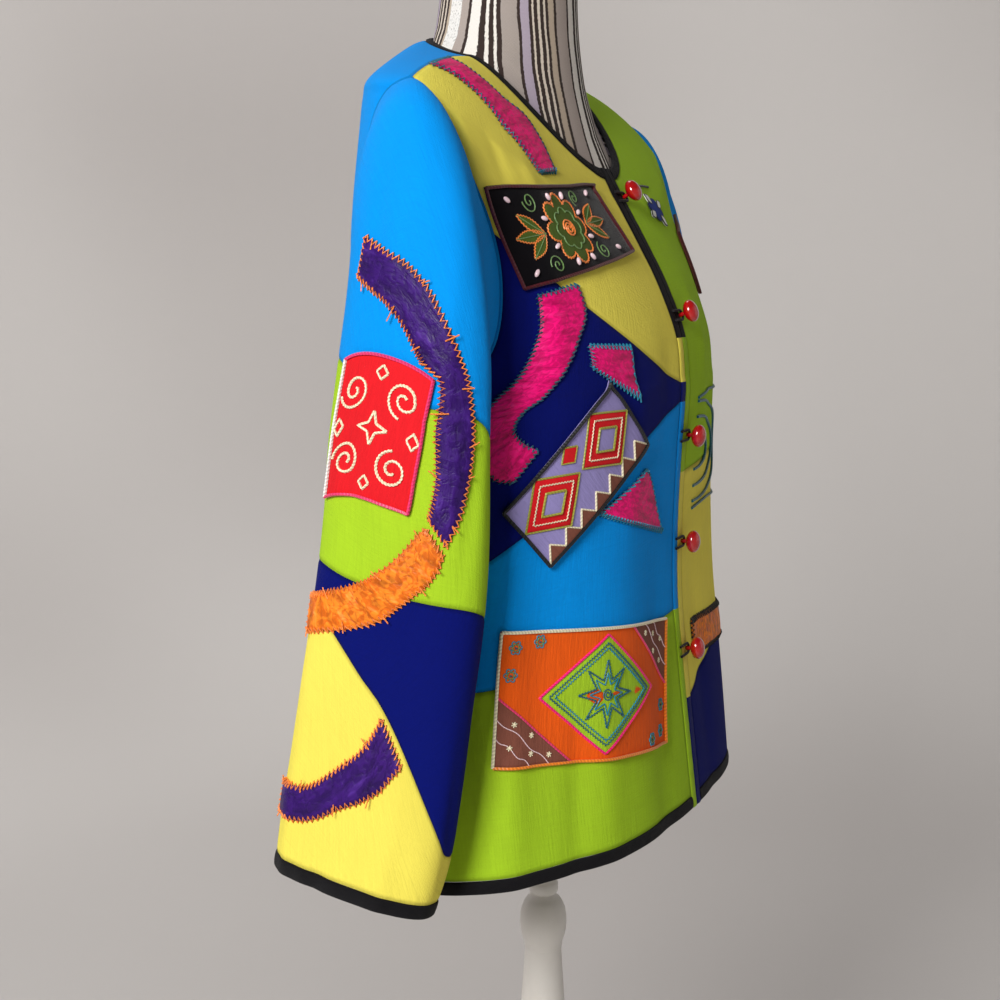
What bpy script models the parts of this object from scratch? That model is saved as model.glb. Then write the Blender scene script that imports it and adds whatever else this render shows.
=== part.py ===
"""Colour-blocked applique jacket on a limbless dress form with a turned stand.

Metres, +Z up, the wearer faces -Y and the wearer's right hand is at -X. The origin is on the floor,
in the middle of the stand's base, under the pole.

The jacket's body is one skin that wraps the figure, read from a table of sections. It is cut into
the colour blocks of the two fronts and the back, and the sleeves are tubes that start at the armholes.
Bands, patches, loops and buttons take their points from that skin, moved out.
"""

import math
from collections import namedtuple

import bmesh
import bpy
import numpy as np

# Cloth and sewing sizes
CLOTH = 0.0016
SEAM_GAP = 0.0003
BINDING_GAP = 0.0005
BINDING_WIDTH = 0.0095
BINDING_EXTRA = 0.0005
FRONT_OPENING = 0.0008
LAID_ON_GAP = 0.0009
PATCH_THICK = 0.0012

# Finger-sized steps for slopes and for walking over a skin
SLOPE_STEP = 1e-3
WALK_STEPS = 14

# The jacket's skin, from the hem up. Heights and depths are the outer face, at the middle of the front,
# at the side and at the middle of the back.
Section = namedtuple("Section", "name side_z front_z back_z half_width front_y back_y centre_y")
BODY = [
    Section("hem", 0.648, 0.660, 0.654, 0.240, -0.139, 0.130, 0.000),
    Section("low hip", 0.706, 0.718, 0.712, 0.235, -0.132, 0.127, 0.000),
    Section("hip", 0.766, 0.777, 0.771, 0.230, -0.125, 0.124, 0.000),
    Section("low waist", 0.826, 0.836, 0.830, 0.225, -0.119, 0.121, 0.001),
    Section("waist", 0.886, 0.894, 0.889, 0.221, -0.118, 0.120, 0.003),
    Section("rib", 0.944, 0.950, 0.947, 0.218, -0.120, 0.121, 0.006),
    Section("underarm", 1.000, 1.003, 1.004, 0.216, -0.123, 0.123, 0.009),
    Section("armhole foot", 1.016, 1.019, 1.021, 0.215, -0.122, 0.124, 0.010),
    Section("bust", 1.050, 1.050, 1.058, 0.213, -0.118, 0.125, 0.011),
    Section("high bust", 1.100, 1.090, 1.112, 0.211, -0.102, 0.124, 0.012),
    Section("chest", 1.150, 1.120, 1.160, 0.210, -0.086, 0.119, 0.012),
    Section("high chest", 1.198, 1.141, 1.205, 0.211, -0.074, 0.110, 0.012),
    Section("shoulder end", 1.224, 1.153, 1.230, 0.210, -0.067, 0.105, 0.013),
    Section("shoulder tip", 1.236, 1.161, 1.244, 0.205, -0.062, 0.101, 0.015),
    Section("shoulder", 1.251, 1.169, 1.264, 0.165, -0.058, 0.0965, 0.020),
    Section("shoulder root", 1.261, 1.176, 1.282, 0.118, -0.054, 0.0930, 0.026),
    Section("neckline", 1.266, 1.181, 1.289, 0.075, -0.051, 0.090, 0.031),
]
ROW = {section.name: number for number, section in enumerate(BODY)}
BODY_SQUARENESS = 2.35
# How fast the rows rise or fall round the figure, from their side height to their front or back height
SLOPE_POWER = 1.15

# The armhole's front and back edges, in degrees round from the middle of the front, one row for each
# section between the underarm and the shoulder tip.
ArmholeRow = namedtuple("ArmholeRow", "section front_edge back_edge")
ARMHOLE = [
    ArmholeRow("underarm", 90.0, 90.0),
    ArmholeRow("armhole foot", 77.5, 102.0),
    ArmholeRow("bust", 67.0, 111.0),
    ArmholeRow("high bust", 62.0, 116.0),
    ArmholeRow("chest", 63.0, 116.0),
    ArmholeRow("high chest", 70.0, 110.0),
    ArmholeRow("shoulder end", 79.5, 101.0),
    ArmholeRow("shoulder tip", 90.0, 90.0),
]

# Soft folds of the body: angle from the middle of the front (the wearer's right is negative), spread in
# degrees, depth outwards, and the rows between which it fades in and out.
Fold = namedtuple("Fold", "angle spread depth low_row high_row")
BODY_FOLDS = [
    Fold(-24, 11, 0.0050, -2.0, 7.0),
    Fold(-52, 12, -0.0055, -2.5, 6.0),
    Fold(28, 12, 0.0050, -2.0, 6.5),
    Fold(58, 13, -0.0050, -2.5, 6.0),
    Fold(124, 12, 0.0060, -2.5, 6.0),
    Fold(155, 12, -0.0050, -2.0, 7.5),
    Fold(-150, 13, -0.0055, -2.0, 7.0),
    Fold(-120, 11, 0.0055, -2.5, 6.0),
    Fold(180, 10, 0.0040, -2.0, 5.0),
]

# The right sleeve, from the armhole down: the outer line and the inner line of the tube as seen from the
# front (distance out from the middle, and height), its middle in depth, and half its width front to back.
Ring = namedtuple("Ring", "name outer_x outer_z inner_x inner_z middle_y half_width")
SLEEVE = [
    Ring("armhole", 0.2110, 1.236, 0.2166, 1.0010, 0.015, 0.052),
    Ring("head", 0.2300, 1.231, 0.2200, 0.9900, 0.002, 0.051),
    Ring("head turn", 0.2480, 1.214, 0.2215, 0.9790, -0.004, 0.052),
    Ring("high arm", 0.2610, 1.179, 0.2220, 0.9660, -0.009, 0.0535),
    Ring("upper arm", 0.2680, 1.131, 0.2225, 0.9500, -0.010, 0.0560),
    Ring("mid arm", 0.2720, 1.073, 0.2235, 0.9320, -0.0075, 0.0590),
    Ring("above elbow", 0.2755, 1.007, 0.2245, 0.9090, -0.0045, 0.0615),
    Ring("elbow", 0.2790, 0.943, 0.2270, 0.8790, -0.0035, 0.0625),
    Ring("below elbow", 0.2835, 0.882, 0.2310, 0.8400, 0.0000, 0.0635),
    Ring("forearm", 0.2890, 0.820, 0.2360, 0.7920, 0.0065, 0.0643),
    Ring("low forearm", 0.2945, 0.760, 0.2410, 0.7420, 0.0130, 0.0655),
    Ring("above cuff", 0.3005, 0.704, 0.2455, 0.6950, 0.0205, 0.0660),
    Ring("cuff", 0.3050, 0.663, 0.2480, 0.6570, 0.0290, 0.0625),
]
SLEEVE_SQUARENESS = 2.25
CUFF_TILT = 0.011
# The left sleeve hangs a little further back
LEFT_SLEEVE_BACK = 0.024
ARMHOLE_CLEARANCE = 0.0018
ARMHOLE_POINTS = 400
HEAD_BLEND_ROWS = 2.4

# Soft folds of the sleeve: angle round from the outer line towards the front, and as above.
SLEEVE_FOLDS = [
    Fold(42, 30, 0.0030, 0.8, 7.5),
    Fold(-35, 30, -0.0030, 0.8, 6.5),
    Fold(-75, 32, 0.0030, 4.5, 13.5),
    Fold(15, 32, -0.0030, 6.5, 13.5),
]

# Where the colour blocks meet. A front's seam runs straight from the front edge to the side.
FrontSeam = namedtuple("FrontSeam", "below above edge_z side_z")
RIGHT_FRONT_SEAMS = [
    FrontSeam("lime", "turquoise", 0.826, 0.792),
    FrontSeam("turquoise", "navy", 0.996, 0.862),
    FrontSeam("navy", "yellow", 1.012, 1.128),
]
LEFT_FRONT_SEAMS = [
    FrontSeam("navy", "yellow", 0.750, 0.905),
    FrontSeam("yellow", "lime", 0.938, 0.968),
]
# The back's seams run from the wearer's left side to the right side.
BackSeam = namedtuple("BackSeam", "below above left_z right_z")
BACK_SEAMS = [
    BackSeam("navy", "yellow", 0.846, 0.748),
    BackSeam("yellow", "turquoise", 0.884, 0.962),
]
# A sleeve's seams, by their height at its outer, front, inner and back lines.
SleeveSeam = namedtuple("SleeveSeam", "above below outer_z front_z inner_z back_z")
SLEEVE_SEAMS = [
    SleeveSeam("turquoise", "lime", 1.016, 0.992, 0.950, 1.034),
    SleeveSeam("lime", "navy", 0.881, 0.866, 0.852, 0.895),
    SleeveSeam("navy", "yellow", 0.812, 0.694, 0.775, 0.862),
]

# How finely each piece is laid out
FRONT_COLUMNS = 10
BACK_COLUMNS = 18
SLEEVE_COLUMNS = 20
ROW_STEP = 0.035
EDGE_ROWS = 24

# Buttons down the left front, and their loops on the right front's edge
BUTTON_HEIGHTS = [1.158, 1.064, 0.968, 0.880, 0.790]
BUTTON_X = 0.0085
BUTTON_SIDES = 10
# Half-width, half-height and distance out of the cloth, from the shank's foot to the bead's crown
BUTTON_PROFILE = [
    (0.0018, 0.0018, 0.0000),
    (0.0018, 0.0018, 0.0042),
    (0.0052, 0.0062, 0.0052),
    (0.0076, 0.0091, 0.0088),
    (0.0072, 0.0086, 0.0120),
    (0.0040, 0.0048, 0.0152),
    (0.0012, 0.0014, 0.0160),
]
LOOP_CORD = 0.0022
LOOP_REACH = 0.0040
LOOP_STEPS = 6
LOOP_START_X = -0.0075

# The dress form inside, from the neck down, in the body's columns
FORM_NECK = [
    Section("neck top", 1.412, 1.408, 1.412, 0.0540, -0.0200, 0.0830, 0.031),
    Section("neck edge", 1.408, 1.404, 1.408, 0.0562, -0.0222, 0.0850, 0.031),
    Section("high neck", 1.375, 1.360, 1.380, 0.0560, -0.0215, 0.0855, 0.031),
    Section("neck", 1.335, 1.300, 1.345, 0.0565, -0.0215, 0.0870, 0.031),
    Section("low neck", 1.302, 1.245, 1.318, 0.0605, -0.0275, 0.0895, 0.031),
    Section("neck root", 1.279, 1.206, 1.300, 0.0680, -0.0380, 0.0905, 0.031),
]
FORM_TORSO = [
    Section("arm plate top", 1.190, 1.120, 1.195, 0.1790, -0.0800, 0.0980, 0.014),
    Section("arm plate", 1.130, 1.085, 1.130, 0.1760, -0.0970, 0.1020, 0.014),
    Section("bust", 1.055, 1.045, 1.055, 0.1640, -0.1090, 0.1030, 0.014),
    Section("under bust", 0.985, 0.985, 0.985, 0.1440, -0.0960, 0.0990, 0.012),
    Section("waist", 0.905, 0.905, 0.905, 0.1230, -0.0800, 0.0860, 0.008),
    Section("high hip", 0.835, 0.835, 0.835, 0.1430, -0.0900, 0.0960, 0.004),
    Section("hip", 0.765, 0.765, 0.765, 0.1620, -0.0980, 0.1060, 0.002),
    Section("form foot", 0.705, 0.705, 0.705, 0.1600, -0.0960, 0.1030, 0.002),
    Section("form foot edge", 0.698, 0.698, 0.698, 0.1540, -0.0900, 0.0970, 0.002),
]
FORM_SQUARENESS = 2.1
FORM_COLUMNS = 32
# How far the form lies under the jacket's inner face at its neck and shoulders: it carries the jacket
# at the shoulder's root, and falls away towards the arm plates.
FormUnder = namedtuple("FormUnder", "row ease")
FORM_UNDER = [
    FormUnder("neckline", 0.0012),
    FormUnder("shoulder root", 0.0012),
    FormUnder("shoulder", 0.0040),
]

# The stand, as radius and height, from the top down
POLE_PROFILE = [
    (0.0095, 0.6977),
    (0.0095, 0.5720),
    (0.0130, 0.5690),
    (0.0130, 0.5620),
    (0.0105, 0.5590),
    (0.0148, 0.5540),
    (0.0192, 0.5450),
    (0.0206, 0.5330),
    (0.0190, 0.5210),
    (0.0160, 0.5130),
    (0.0160, 0.5100),
    (0.0185, 0.4700),
    (0.0225, 0.4000),
    (0.0245, 0.3200),
    (0.0235, 0.2300),
    (0.0190, 0.1300),
    (0.0165, 0.0960),
    (0.0240, 0.0900),
    (0.0270, 0.0780),
    (0.0240, 0.0660),
    (0.0300, 0.0600),
    (0.0380, 0.0380),
]
POLE_SIDES = 16
BASE_PROFILE = [
    (0.0500, 0.0377),
    (0.0900, 0.0350),
    (0.1500, 0.0290),
    (0.1850, 0.0240),
    (0.1980, 0.0190),
    (0.2030, 0.0120),
    (0.2010, 0.0040),
    (0.1970, 0.0000),
]
BASE_SIDES = 36

# Colour, roughness and metallic value of each finish
Finish = namedtuple("Finish", "colour roughness metallic")
FINISHES = {
    "turquoise": Finish((0.010, 0.330, 0.760), 0.85, 0.0),
    "lime": Finish((0.370, 0.600, 0.035), 0.85, 0.0),
    "yellow": Finish((0.860, 0.780, 0.130), 0.85, 0.0),
    "navy": Finish((0.008, 0.022, 0.150), 0.85, 0.0),
    "black": Finish((0.010, 0.010, 0.012), 0.80, 0.0),
    "velvet": Finish((0.008, 0.006, 0.010), 0.95, 0.0),
    "magenta": Finish((0.640, 0.005, 0.160), 0.40, 0.0),
    "purple": Finish((0.070, 0.010, 0.220), 0.40, 0.0),
    "orange": Finish((0.850, 0.230, 0.015), 0.45, 0.0),
    "red": Finish((0.720, 0.006, 0.020), 0.70, 0.0),
    "brown": Finish((0.230, 0.070, 0.040), 0.80, 0.0),
    "lavender": Finish((0.300, 0.250, 0.560), 0.80, 0.0),
    "button_red": Finish((0.380, 0.006, 0.004), 0.20, 0.0),
    "ticking": Finish((0.760, 0.740, 0.710), 0.85, 0.0),
    "white_paint": Finish((0.780, 0.770, 0.740), 0.45, 0.0),
}


def column(rows, name):
    return np.array([getattr(row, name) for row in rows], float)


def smooth_read(values, at):
    """A table read between its rows, on smooth curves through them. Its columns, if any, come as the last axis."""
    values = np.asarray(values, float)
    at = np.clip(np.asarray(at, float), 0, len(values) - 1)
    before = np.minimum(at.astype(int), len(values) - 2)
    share = (at - before).reshape(at.shape + (1,) * (values.ndim - 1))
    padded = np.concatenate([2 * values[:1] - values[1:2], values, 2 * values[-1:] - values[-2:-1]])
    p0, p1, p2, p3 = (padded[before + step] for step in range(4))
    slope1, slope2 = (p2 - p0) / 2, (p3 - p1) / 2
    rise = p2 - p1
    bend = 3 * rise - 2 * slope1 - slope2
    return p1 + share * (slope1 + share * (bend + share * (slope1 + slope2 - 2 * rise)))


def columns_of(rows, at):
    """Every column of a table of sections, but its name, read at these rows."""
    read = smooth_read([row[1:] for row in rows], at)
    return type(rows[0])(None, *np.moveaxis(read, -1, 0))


def fold_depth(folds, angle, row):
    """How far the folds move the skin outwards at these angles, in degrees, and rows."""
    depth = np.zeros(np.broadcast(angle, row).shape)
    for fold in folds:
        apart = (angle - fold.angle + 180) % 360 - 180
        along = np.clip((row - fold.low_row) / (fold.high_row - fold.low_row), 0, 1)
        depth = depth + fold.depth * np.exp(-((apart / fold.spread) ** 2)) * np.sin(math.pi * along) ** 2
    return depth


def section_skin(sections, squareness, folds=()):
    """A skin round the figure, for an angle from the middle of the front, in degrees, and a row."""
    def skin(angle, row):
        angle, row = np.broadcast_arrays(np.asarray(angle, float), np.asarray(row, float))
        read = columns_of(sections, row)
        turn = np.radians(angle)
        sine, cosine = np.sin(turn), np.cos(turn)
        power = 2 / squareness
        across = np.sign(sine) * np.abs(sine) ** power
        forward = np.abs(cosine) ** power
        in_front = cosine > 0
        end_y = np.where(in_front, read.front_y, read.back_y)
        end_z = np.where(in_front, read.front_z, read.back_z)
        x = read.half_width * across
        y = read.centre_y + (end_y - read.centre_y) * forward
        z = read.side_z + (end_z - read.side_z) * np.abs(cosine) ** SLOPE_POWER
        if folds:
            out = fold_depth(folds, angle, row)
            x = x + out * sine
            y = y - out * cosine
        return np.stack([x, y, z], axis=-1)

    return skin


body_skin = section_skin(BODY, BODY_SQUARENESS, BODY_FOLDS)


def armhole_angle(row, edge):
    """The armhole's front or back edge at a row, in degrees from the middle of the front."""
    first = ROW[ARMHOLE[0].section]
    return np.where(
        (row <= first) | (row >= first + len(ARMHOLE) - 1),
        90.0,
        smooth_read(column(ARMHOLE, edge), row - first),
    )


def row_at_height(skin, angle, height, low, high):
    """The row where a skin that rises with its rows reaches a height."""
    low = np.full(np.shape(height), float(low))
    high = np.full(np.shape(height), float(high))
    for _ in range(40):
        middle = (low + high) / 2
        under = skin(angle, middle)[..., 2] < height
        low, high = np.where(under, middle, low), np.where(under, high, middle)
    return (low + high) / 2


def armhole_line(edge):
    """Closely spaced points up one edge of the right armhole."""
    rows = np.linspace(ROW["underarm"], ROW["shoulder tip"], ARMHOLE_POINTS)
    return body_skin(-armhole_angle(rows, edge), rows)


ARMHOLE_LINES = {edge: armhole_line(edge) for edge in ("front_edge", "back_edge")}


def armhole_edge_point(height, edge):
    """The point of the right armhole's edge at a height."""
    line = ARMHOLE_LINES[edge]
    return np.stack([np.interp(height, line[:, 2], line[:, axis]) for axis in range(3)], axis=-1)


def plain_sleeve(angle, row):
    """The right sleeve's tube before its head is fitted. The angle runs from the outer line to the front."""
    read = columns_of(SLEEVE, row)
    turn = np.radians(angle)
    power = 2 / (2 + (SLEEVE_SQUARENESS - 2) * np.clip(row / 4, 0, 1))
    outward = np.sign(np.cos(turn)) * np.abs(np.cos(turn)) ** power
    forward = np.sign(np.sin(turn)) * np.abs(np.sin(turn)) ** power
    share = (1 + outward) / 2
    x = -(read.inner_x + (read.outer_x - read.inner_x) * share)
    y = read.middle_y - read.half_width * forward
    z = read.inner_z + (read.outer_z - read.inner_z) * share
    z = z - CUFF_TILT * forward * np.clip(row / (len(SLEEVE) - 1), 0, 1)
    out = fold_depth(SLEEVE_FOLDS, angle, row)
    return np.stack([x - out * np.cos(turn), y - out * np.sin(turn), z], axis=-1)


def right_sleeve(angle, row):
    """The right sleeve's skin. Its first row follows the armhole, with the seam's gap."""
    angle, row = np.broadcast_arrays(np.asarray(angle, float), np.asarray(row, float))
    top = plain_sleeve(angle, np.zeros(angle.shape))
    height = np.clip(top[..., 2], BODY[ROW["underarm"]].side_z + 1e-4, BODY[ROW["shoulder tip"]].side_z - 1e-4)
    in_front = np.sin(np.radians(angle)) > 0
    edge = np.where(
        in_front[..., None],
        armhole_edge_point(height, "front_edge"),
        armhole_edge_point(height, "back_edge"),
    )
    edge = edge - np.array([ARMHOLE_CLEARANCE, 0, 0])
    share = np.clip(1 - row / HEAD_BLEND_ROWS, 0, 1) ** 2
    return plain_sleeve(angle, row) + (edge - top) * share[..., None]


def left_sleeve(angle, row):
    """The right sleeve's skin on the other side."""
    back = LEFT_SLEEVE_BACK * np.clip(np.asarray(row, float) / 2, 0, 1)
    shift = np.multiply.outer(back, np.array([0.0, 1.0, 0.0]))
    return right_sleeve(angle, row) * np.array([-1.0, 1.0, 1.0]) + shift


def slopes(skin, angle, row):
    """The skin's slopes for each degree and for each row."""
    round_it = (skin(angle + SLOPE_STEP * 10, row) - skin(angle - SLOPE_STEP * 10, row)) / (SLOPE_STEP * 20)
    along = (skin(angle, row + SLOPE_STEP) - skin(angle, row - SLOPE_STEP)) / (SLOPE_STEP * 2)
    return round_it, along


def outward(skin, angle, row, turn):
    """Unit vectors out of the skin. The turn is 1 or -1, so that they point away from the figure."""
    angle, row = np.broadcast_arrays(np.asarray(angle, float), np.asarray(row, float))
    last = {id(body_skin): len(BODY) - 1}.get(id(skin), len(SLEEVE) - 1)
    round_it, along = slopes(skin, angle, np.clip(row, 2 * SLOPE_STEP, last - 2 * SLOPE_STEP))
    normal = np.cross(round_it, along) * turn
    return normal / np.linalg.norm(normal, axis=-1, keepdims=True)


def length(vectors):
    return np.linalg.norm(vectors, axis=-1)


def walk(skin, angle, row, across, up, rises):
    """Where a walk over the skin ends: first up (or down) by a length, then across, in metres."""
    angle, row, across, up = (np.array(v, float) for v in np.broadcast_arrays(angle, row, across, up))
    for _ in range(WALK_STEPS):
        row += rises * up / WALK_STEPS / length(slopes(skin, angle, row)[1])
    for _ in range(WALK_STEPS):
        angle += across / WALK_STEPS / length(slopes(skin, angle, row)[0])
    return angle, row


def new_object(name, mesh, finish):
    obj = bpy.data.objects.new(name, mesh)
    bpy.context.collection.objects.link(obj)
    mesh.materials.append(material(finish))
    mesh.shade_smooth()
    mesh.set_sharp_from_angle(angle=math.radians(40))
    return obj


def material(name):
    """The finish as a material, made once."""
    found = bpy.data.materials.get(name)
    if found:
        return found
    finish = FINISHES[name]
    made = bpy.data.materials.new(name)
    made.use_nodes = True
    shader = made.node_tree.nodes["Principled BSDF"]
    shader.inputs["Base Color"].default_value = (*finish.colour, 1)
    shader.inputs["Roughness"].default_value = finish.roughness
    shader.inputs["Metallic"].default_value = finish.metallic
    return made


def wall(name, outer, inner, finish):
    """A closed wall between two grids of points, as rows of columns."""
    rows, columns = outer.shape[:2]
    bm = bmesh.new()
    sides = [[[bm.verts.new(p) for p in row] for row in grid] for grid in (outer, inner)]
    for side in sides:
        for i in range(rows - 1):
            for j in range(columns - 1):
                bm.faces.new((side[i][j], side[i][j + 1], side[i + 1][j + 1], side[i + 1][j]))
    for i in (0, rows - 1):
        for j in range(columns - 1):
            bm.faces.new((sides[0][i][j], sides[0][i][j + 1], sides[1][i][j + 1], sides[1][i][j]))
    for j in (0, columns - 1):
        for i in range(rows - 1):
            bm.faces.new((sides[0][i][j], sides[0][i + 1][j], sides[1][i + 1][j], sides[1][i][j]))
    bmesh.ops.recalc_face_normals(bm, faces=bm.faces)
    mesh = bpy.data.meshes.new(name)
    bm.to_mesh(mesh)
    bm.free()
    return new_object(name, mesh, finish)


def cloth(name, skin, angles, rows, finish, turn, above=0.0, thick=CLOTH):
    """A piece of cloth over a grid of angles and rows. Its outer face is above the skin, its wall inwards."""
    points, normals = skin(angles, rows), outward(skin, angles, rows, turn)
    return wall(name, points + normals * above, points + normals * (above - thick), finish)


def degrees_for(skin, angle, row, distance):
    """A distance round the skin, in degrees."""
    return distance / length(slopes(skin, np.asarray(angle, float), np.asarray(row, float))[0])


def edge_angle(row, distance):
    """The angle at a distance from the middle of the front, measured across."""
    half_width = smooth_read(column(BODY, "half_width"), row)
    return np.degrees(np.arcsin((distance / half_width) ** (BODY_SQUARENESS / 2)))


def column_walk(angle_at, start, distance):
    """The row at a distance along each column of the body, whose angle may change with the row."""
    row = start + np.zeros(np.shape(distance))
    for _ in range(WALK_STEPS):
        ahead = body_skin(angle_at(row + SLOPE_STEP), row + SLOPE_STEP)
        behind = body_skin(angle_at(row - SLOPE_STEP), row - SLOPE_STEP)
        inside = (row > SLOPE_STEP) & (row < len(BODY) - 1 - SLOPE_STEP)
        row = row + distance / WALK_STEPS * SLOPE_STEP * np.where(inside, 2, 1) / length(ahead - behind)
    return row


def front_angle(row, share, side):
    """A column of a front: from beside its binding to the side seam, the armhole or the shoulder seam."""
    inner = edge_angle(row, FRONT_OPENING / 2 + BINDING_WIDTH + BINDING_GAP)
    outer = armhole_angle(row, "front_edge")
    outer = outer - degrees_for(body_skin, outer, row, SEAM_GAP / 2)
    return side * (inner + (outer - inner) * share)


def row_count(skin, angles, low, high):
    """How many steps a block takes, from its longest column."""
    run = length(skin(angles, high) - skin(angles, low))
    return max(2, int(math.ceil(float(np.max(run)) / ROW_STEP)))


def column_row(angle_at, share, height):
    """The row where a column reaches a height, whose angle may change with the row."""
    low = np.zeros(np.shape(share))
    high = np.full(np.shape(share), len(BODY) - 1.0)
    for _ in range(40):
        middle = (low + high) / 2
        under = body_skin(angle_at(middle, share), middle)[..., 2] < height
        low, high = np.where(under, middle, low), np.where(under, high, middle)
    return (low + high) / 2


def body_blocks(prefix, seams, angle_at, columns, colours):
    """Cuts a front or the back into its colour blocks. A seam is its heights along the columns."""
    share = np.linspace(0, 1, columns + 1)
    edge = np.full(columns + 1, BINDING_WIDTH + BINDING_GAP)
    hem = column_walk(lambda row: angle_at(row, share), 0.0, edge)
    neck = column_walk(lambda row: angle_at(row, share), len(BODY) - 1.0, -edge)
    lines = [column_row(angle_at, share, heights(share)) for heights in seams]
    for number, colour in enumerate(colours):
        low = hem if number == 0 else lines[number - 1]
        high = neck if number == len(colours) - 1 else lines[number]
        rise = length(slopes(body_skin, angle_at(low, share), np.clip(low, 0.01, None))[1])
        low = low + (SEAM_GAP / 2 / rise if number else 0)
        rise = length(slopes(body_skin, angle_at(high, share), high)[1])
        high = high - (SEAM_GAP / 2 / rise if number < len(colours) - 1 else 0)
        steps = np.linspace(0, 1, row_count(body_skin, angle_at(high, share), low, high) + 1)
        rows = low + (high - low) * steps[:, None]
        angles = angle_at(rows, np.broadcast_to(share, rows.shape))
        cloth(f"{prefix}_{colour}", body_skin, angles, rows, colour, 1)


def straight(first, last):
    return lambda share: first + (last - first) * share


def build_fronts():
    for name, side, seams in (("right", -1, RIGHT_FRONT_SEAMS), ("left", 1, LEFT_FRONT_SEAMS)):
        colours = [seam.below for seam in seams] + [seams[-1].above]

        def angle_at(row, share, side=side):
            return front_angle(row, share, side)

        lines = [straight(seam.edge_z, seam.side_z) for seam in seams]
        body_blocks(f"front_{name}", lines, angle_at, FRONT_COLUMNS, colours)


def back_angle(row, share):
    """A column of the back: from the wearer's left side seam, round behind, to the right one."""
    reach = armhole_angle(row, "back_edge")
    reach = 180 - reach - degrees_for(body_skin, reach, row, SEAM_GAP / 2)
    return 180 + reach * (2 * share - 1)


def build_back():
    colours = [seam.below for seam in BACK_SEAMS] + [BACK_SEAMS[-1].above]
    lines = [straight(seam.left_z, seam.right_z) for seam in BACK_SEAMS]
    body_blocks("back", lines, back_angle, BACK_COLUMNS, colours)


def four_way(angle, outer, front, inner, back):
    """A value round a sleeve, given at its outer, front, inner and back lines."""
    turn = np.radians(angle)
    level = (outer + front + inner + back) / 4
    return (
        level
        + (outer - inner) / 2 * np.cos(turn)
        + (front - back) / 2 * np.sin(turn)
        + (outer + inner - front - back) / 4 * np.cos(2 * turn)
    )


def sleeve_row(angle, height):
    """The row where the right sleeve comes down to a height."""
    low = np.zeros(np.shape(angle))
    high = np.full(np.shape(angle), len(SLEEVE) - 1.0)
    for _ in range(40):
        middle = (low + high) / 2
        above = right_sleeve(angle, middle)[..., 2] > height
        low, high = np.where(above, middle, low), np.where(above, high, middle)
    return (low + high) / 2


def sleeve_columns():
    """The angles of a sleeve's columns, with the underarm seam's gap between its first and its last."""
    reach = 180 - degrees_for(right_sleeve, 180.0, 6.0, SEAM_GAP / 2)
    return np.linspace(-reach, reach, SLEEVE_COLUMNS + 1)


def build_sleeves():
    """Each sleeve's four colour blocks, with the underarm seam on its inner line."""
    angles = sleeve_columns()
    cuff = walk(right_sleeve, angles, len(SLEEVE) - 1.0, 0, BINDING_WIDTH + BINDING_GAP, -1)[1]
    seams = [
        sleeve_row(angles, four_way(angles, seam.outer_z, seam.front_z, seam.inner_z, seam.back_z))
        for seam in SLEEVE_SEAMS
    ]
    colours = [SLEEVE_SEAMS[0].above] + [seam.below for seam in SLEEVE_SEAMS]
    bounds = [np.zeros(angles.shape)] + seams + [cuff]
    for number, colour in enumerate(colours):
        low, high = bounds[number], bounds[number + 1]
        gap = SEAM_GAP / 2 / length(slopes(right_sleeve, angles, np.clip(high, 1, None))[1])
        low = low + (gap if number else 0)
        high = high - (gap if number < len(colours) - 1 else 0)
        steps = np.linspace(0, 1, row_count(right_sleeve, angles, low, high) + 1)
        rows = low + (high - low) * steps[:, None]
        grid = np.broadcast_to(angles, rows.shape)
        for side, skin, turn in (("right", right_sleeve, -1), ("left", left_sleeve, 1)):
            cloth(f"sleeve_{side}_{colour}", skin, grid, rows, colour, turn)


def binding(name, skin, angles, rows, turn):
    """Black binding, a little proud of the cloth on both faces."""
    cloth(name, skin, angles, rows, "black", turn, BINDING_EXTRA, CLOTH + 2 * BINDING_EXTRA)


def all_round(row):
    """The angles of every column, from the left front's edge round behind to the right front's."""
    front = np.linspace(0, 1, FRONT_COLUMNS + 1)[:-1]
    back = np.linspace(0, 1, BACK_COLUMNS + 1)[1:-1]
    left, side, behind, other_side, right = np.split(row, np.cumsum([len(front), 1, len(back), 1]), axis=-1)
    return np.concatenate(
        [
            front_angle(left, front, 1),
            armhole_angle(side, "front_edge"),
            back_angle(behind, back),
            360 - armhole_angle(other_side, "front_edge"),
            360 + front_angle(right, front[::-1], -1),
        ],
        axis=-1,
    )


def build_bindings():
    across = np.array([0.0, 1.0])
    last = len(BODY) - 1.0
    rows = np.broadcast_to(np.linspace(0, last, EDGE_ROWS + 1)[:, None], (EDGE_ROWS + 1, 2))
    distance = np.broadcast_to(FRONT_OPENING / 2 + BINDING_WIDTH * across, rows.shape)
    for side_name, side in (("right", -1), ("left", 1)):
        binding(f"binding_front_{side_name}", body_skin, side * edge_angle(rows, distance), rows, 1)

    for name, start, step in (("binding_hem", 0.0, BINDING_WIDTH), ("binding_neck", last, -BINDING_WIDTH)):
        distance = np.tile(step * across[:, None], 2 * FRONT_COLUMNS + BACK_COLUMNS + 1)
        rows = column_walk(all_round, start, distance)
        binding(name, body_skin, all_round(rows), rows, 1)

    last = len(SLEEVE) - 1.0
    angles = sleeve_columns()
    rows = walk(right_sleeve, angles, last, 0, BINDING_WIDTH * across[:, None], -1)[1]
    angles = np.broadcast_to(angles, rows.shape)
    for side_name, skin, turn in (("right", right_sleeve, -1), ("left", left_sleeve, 1)):
        binding(f"binding_cuff_{side_name}", skin, angles, rows, turn)


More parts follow.
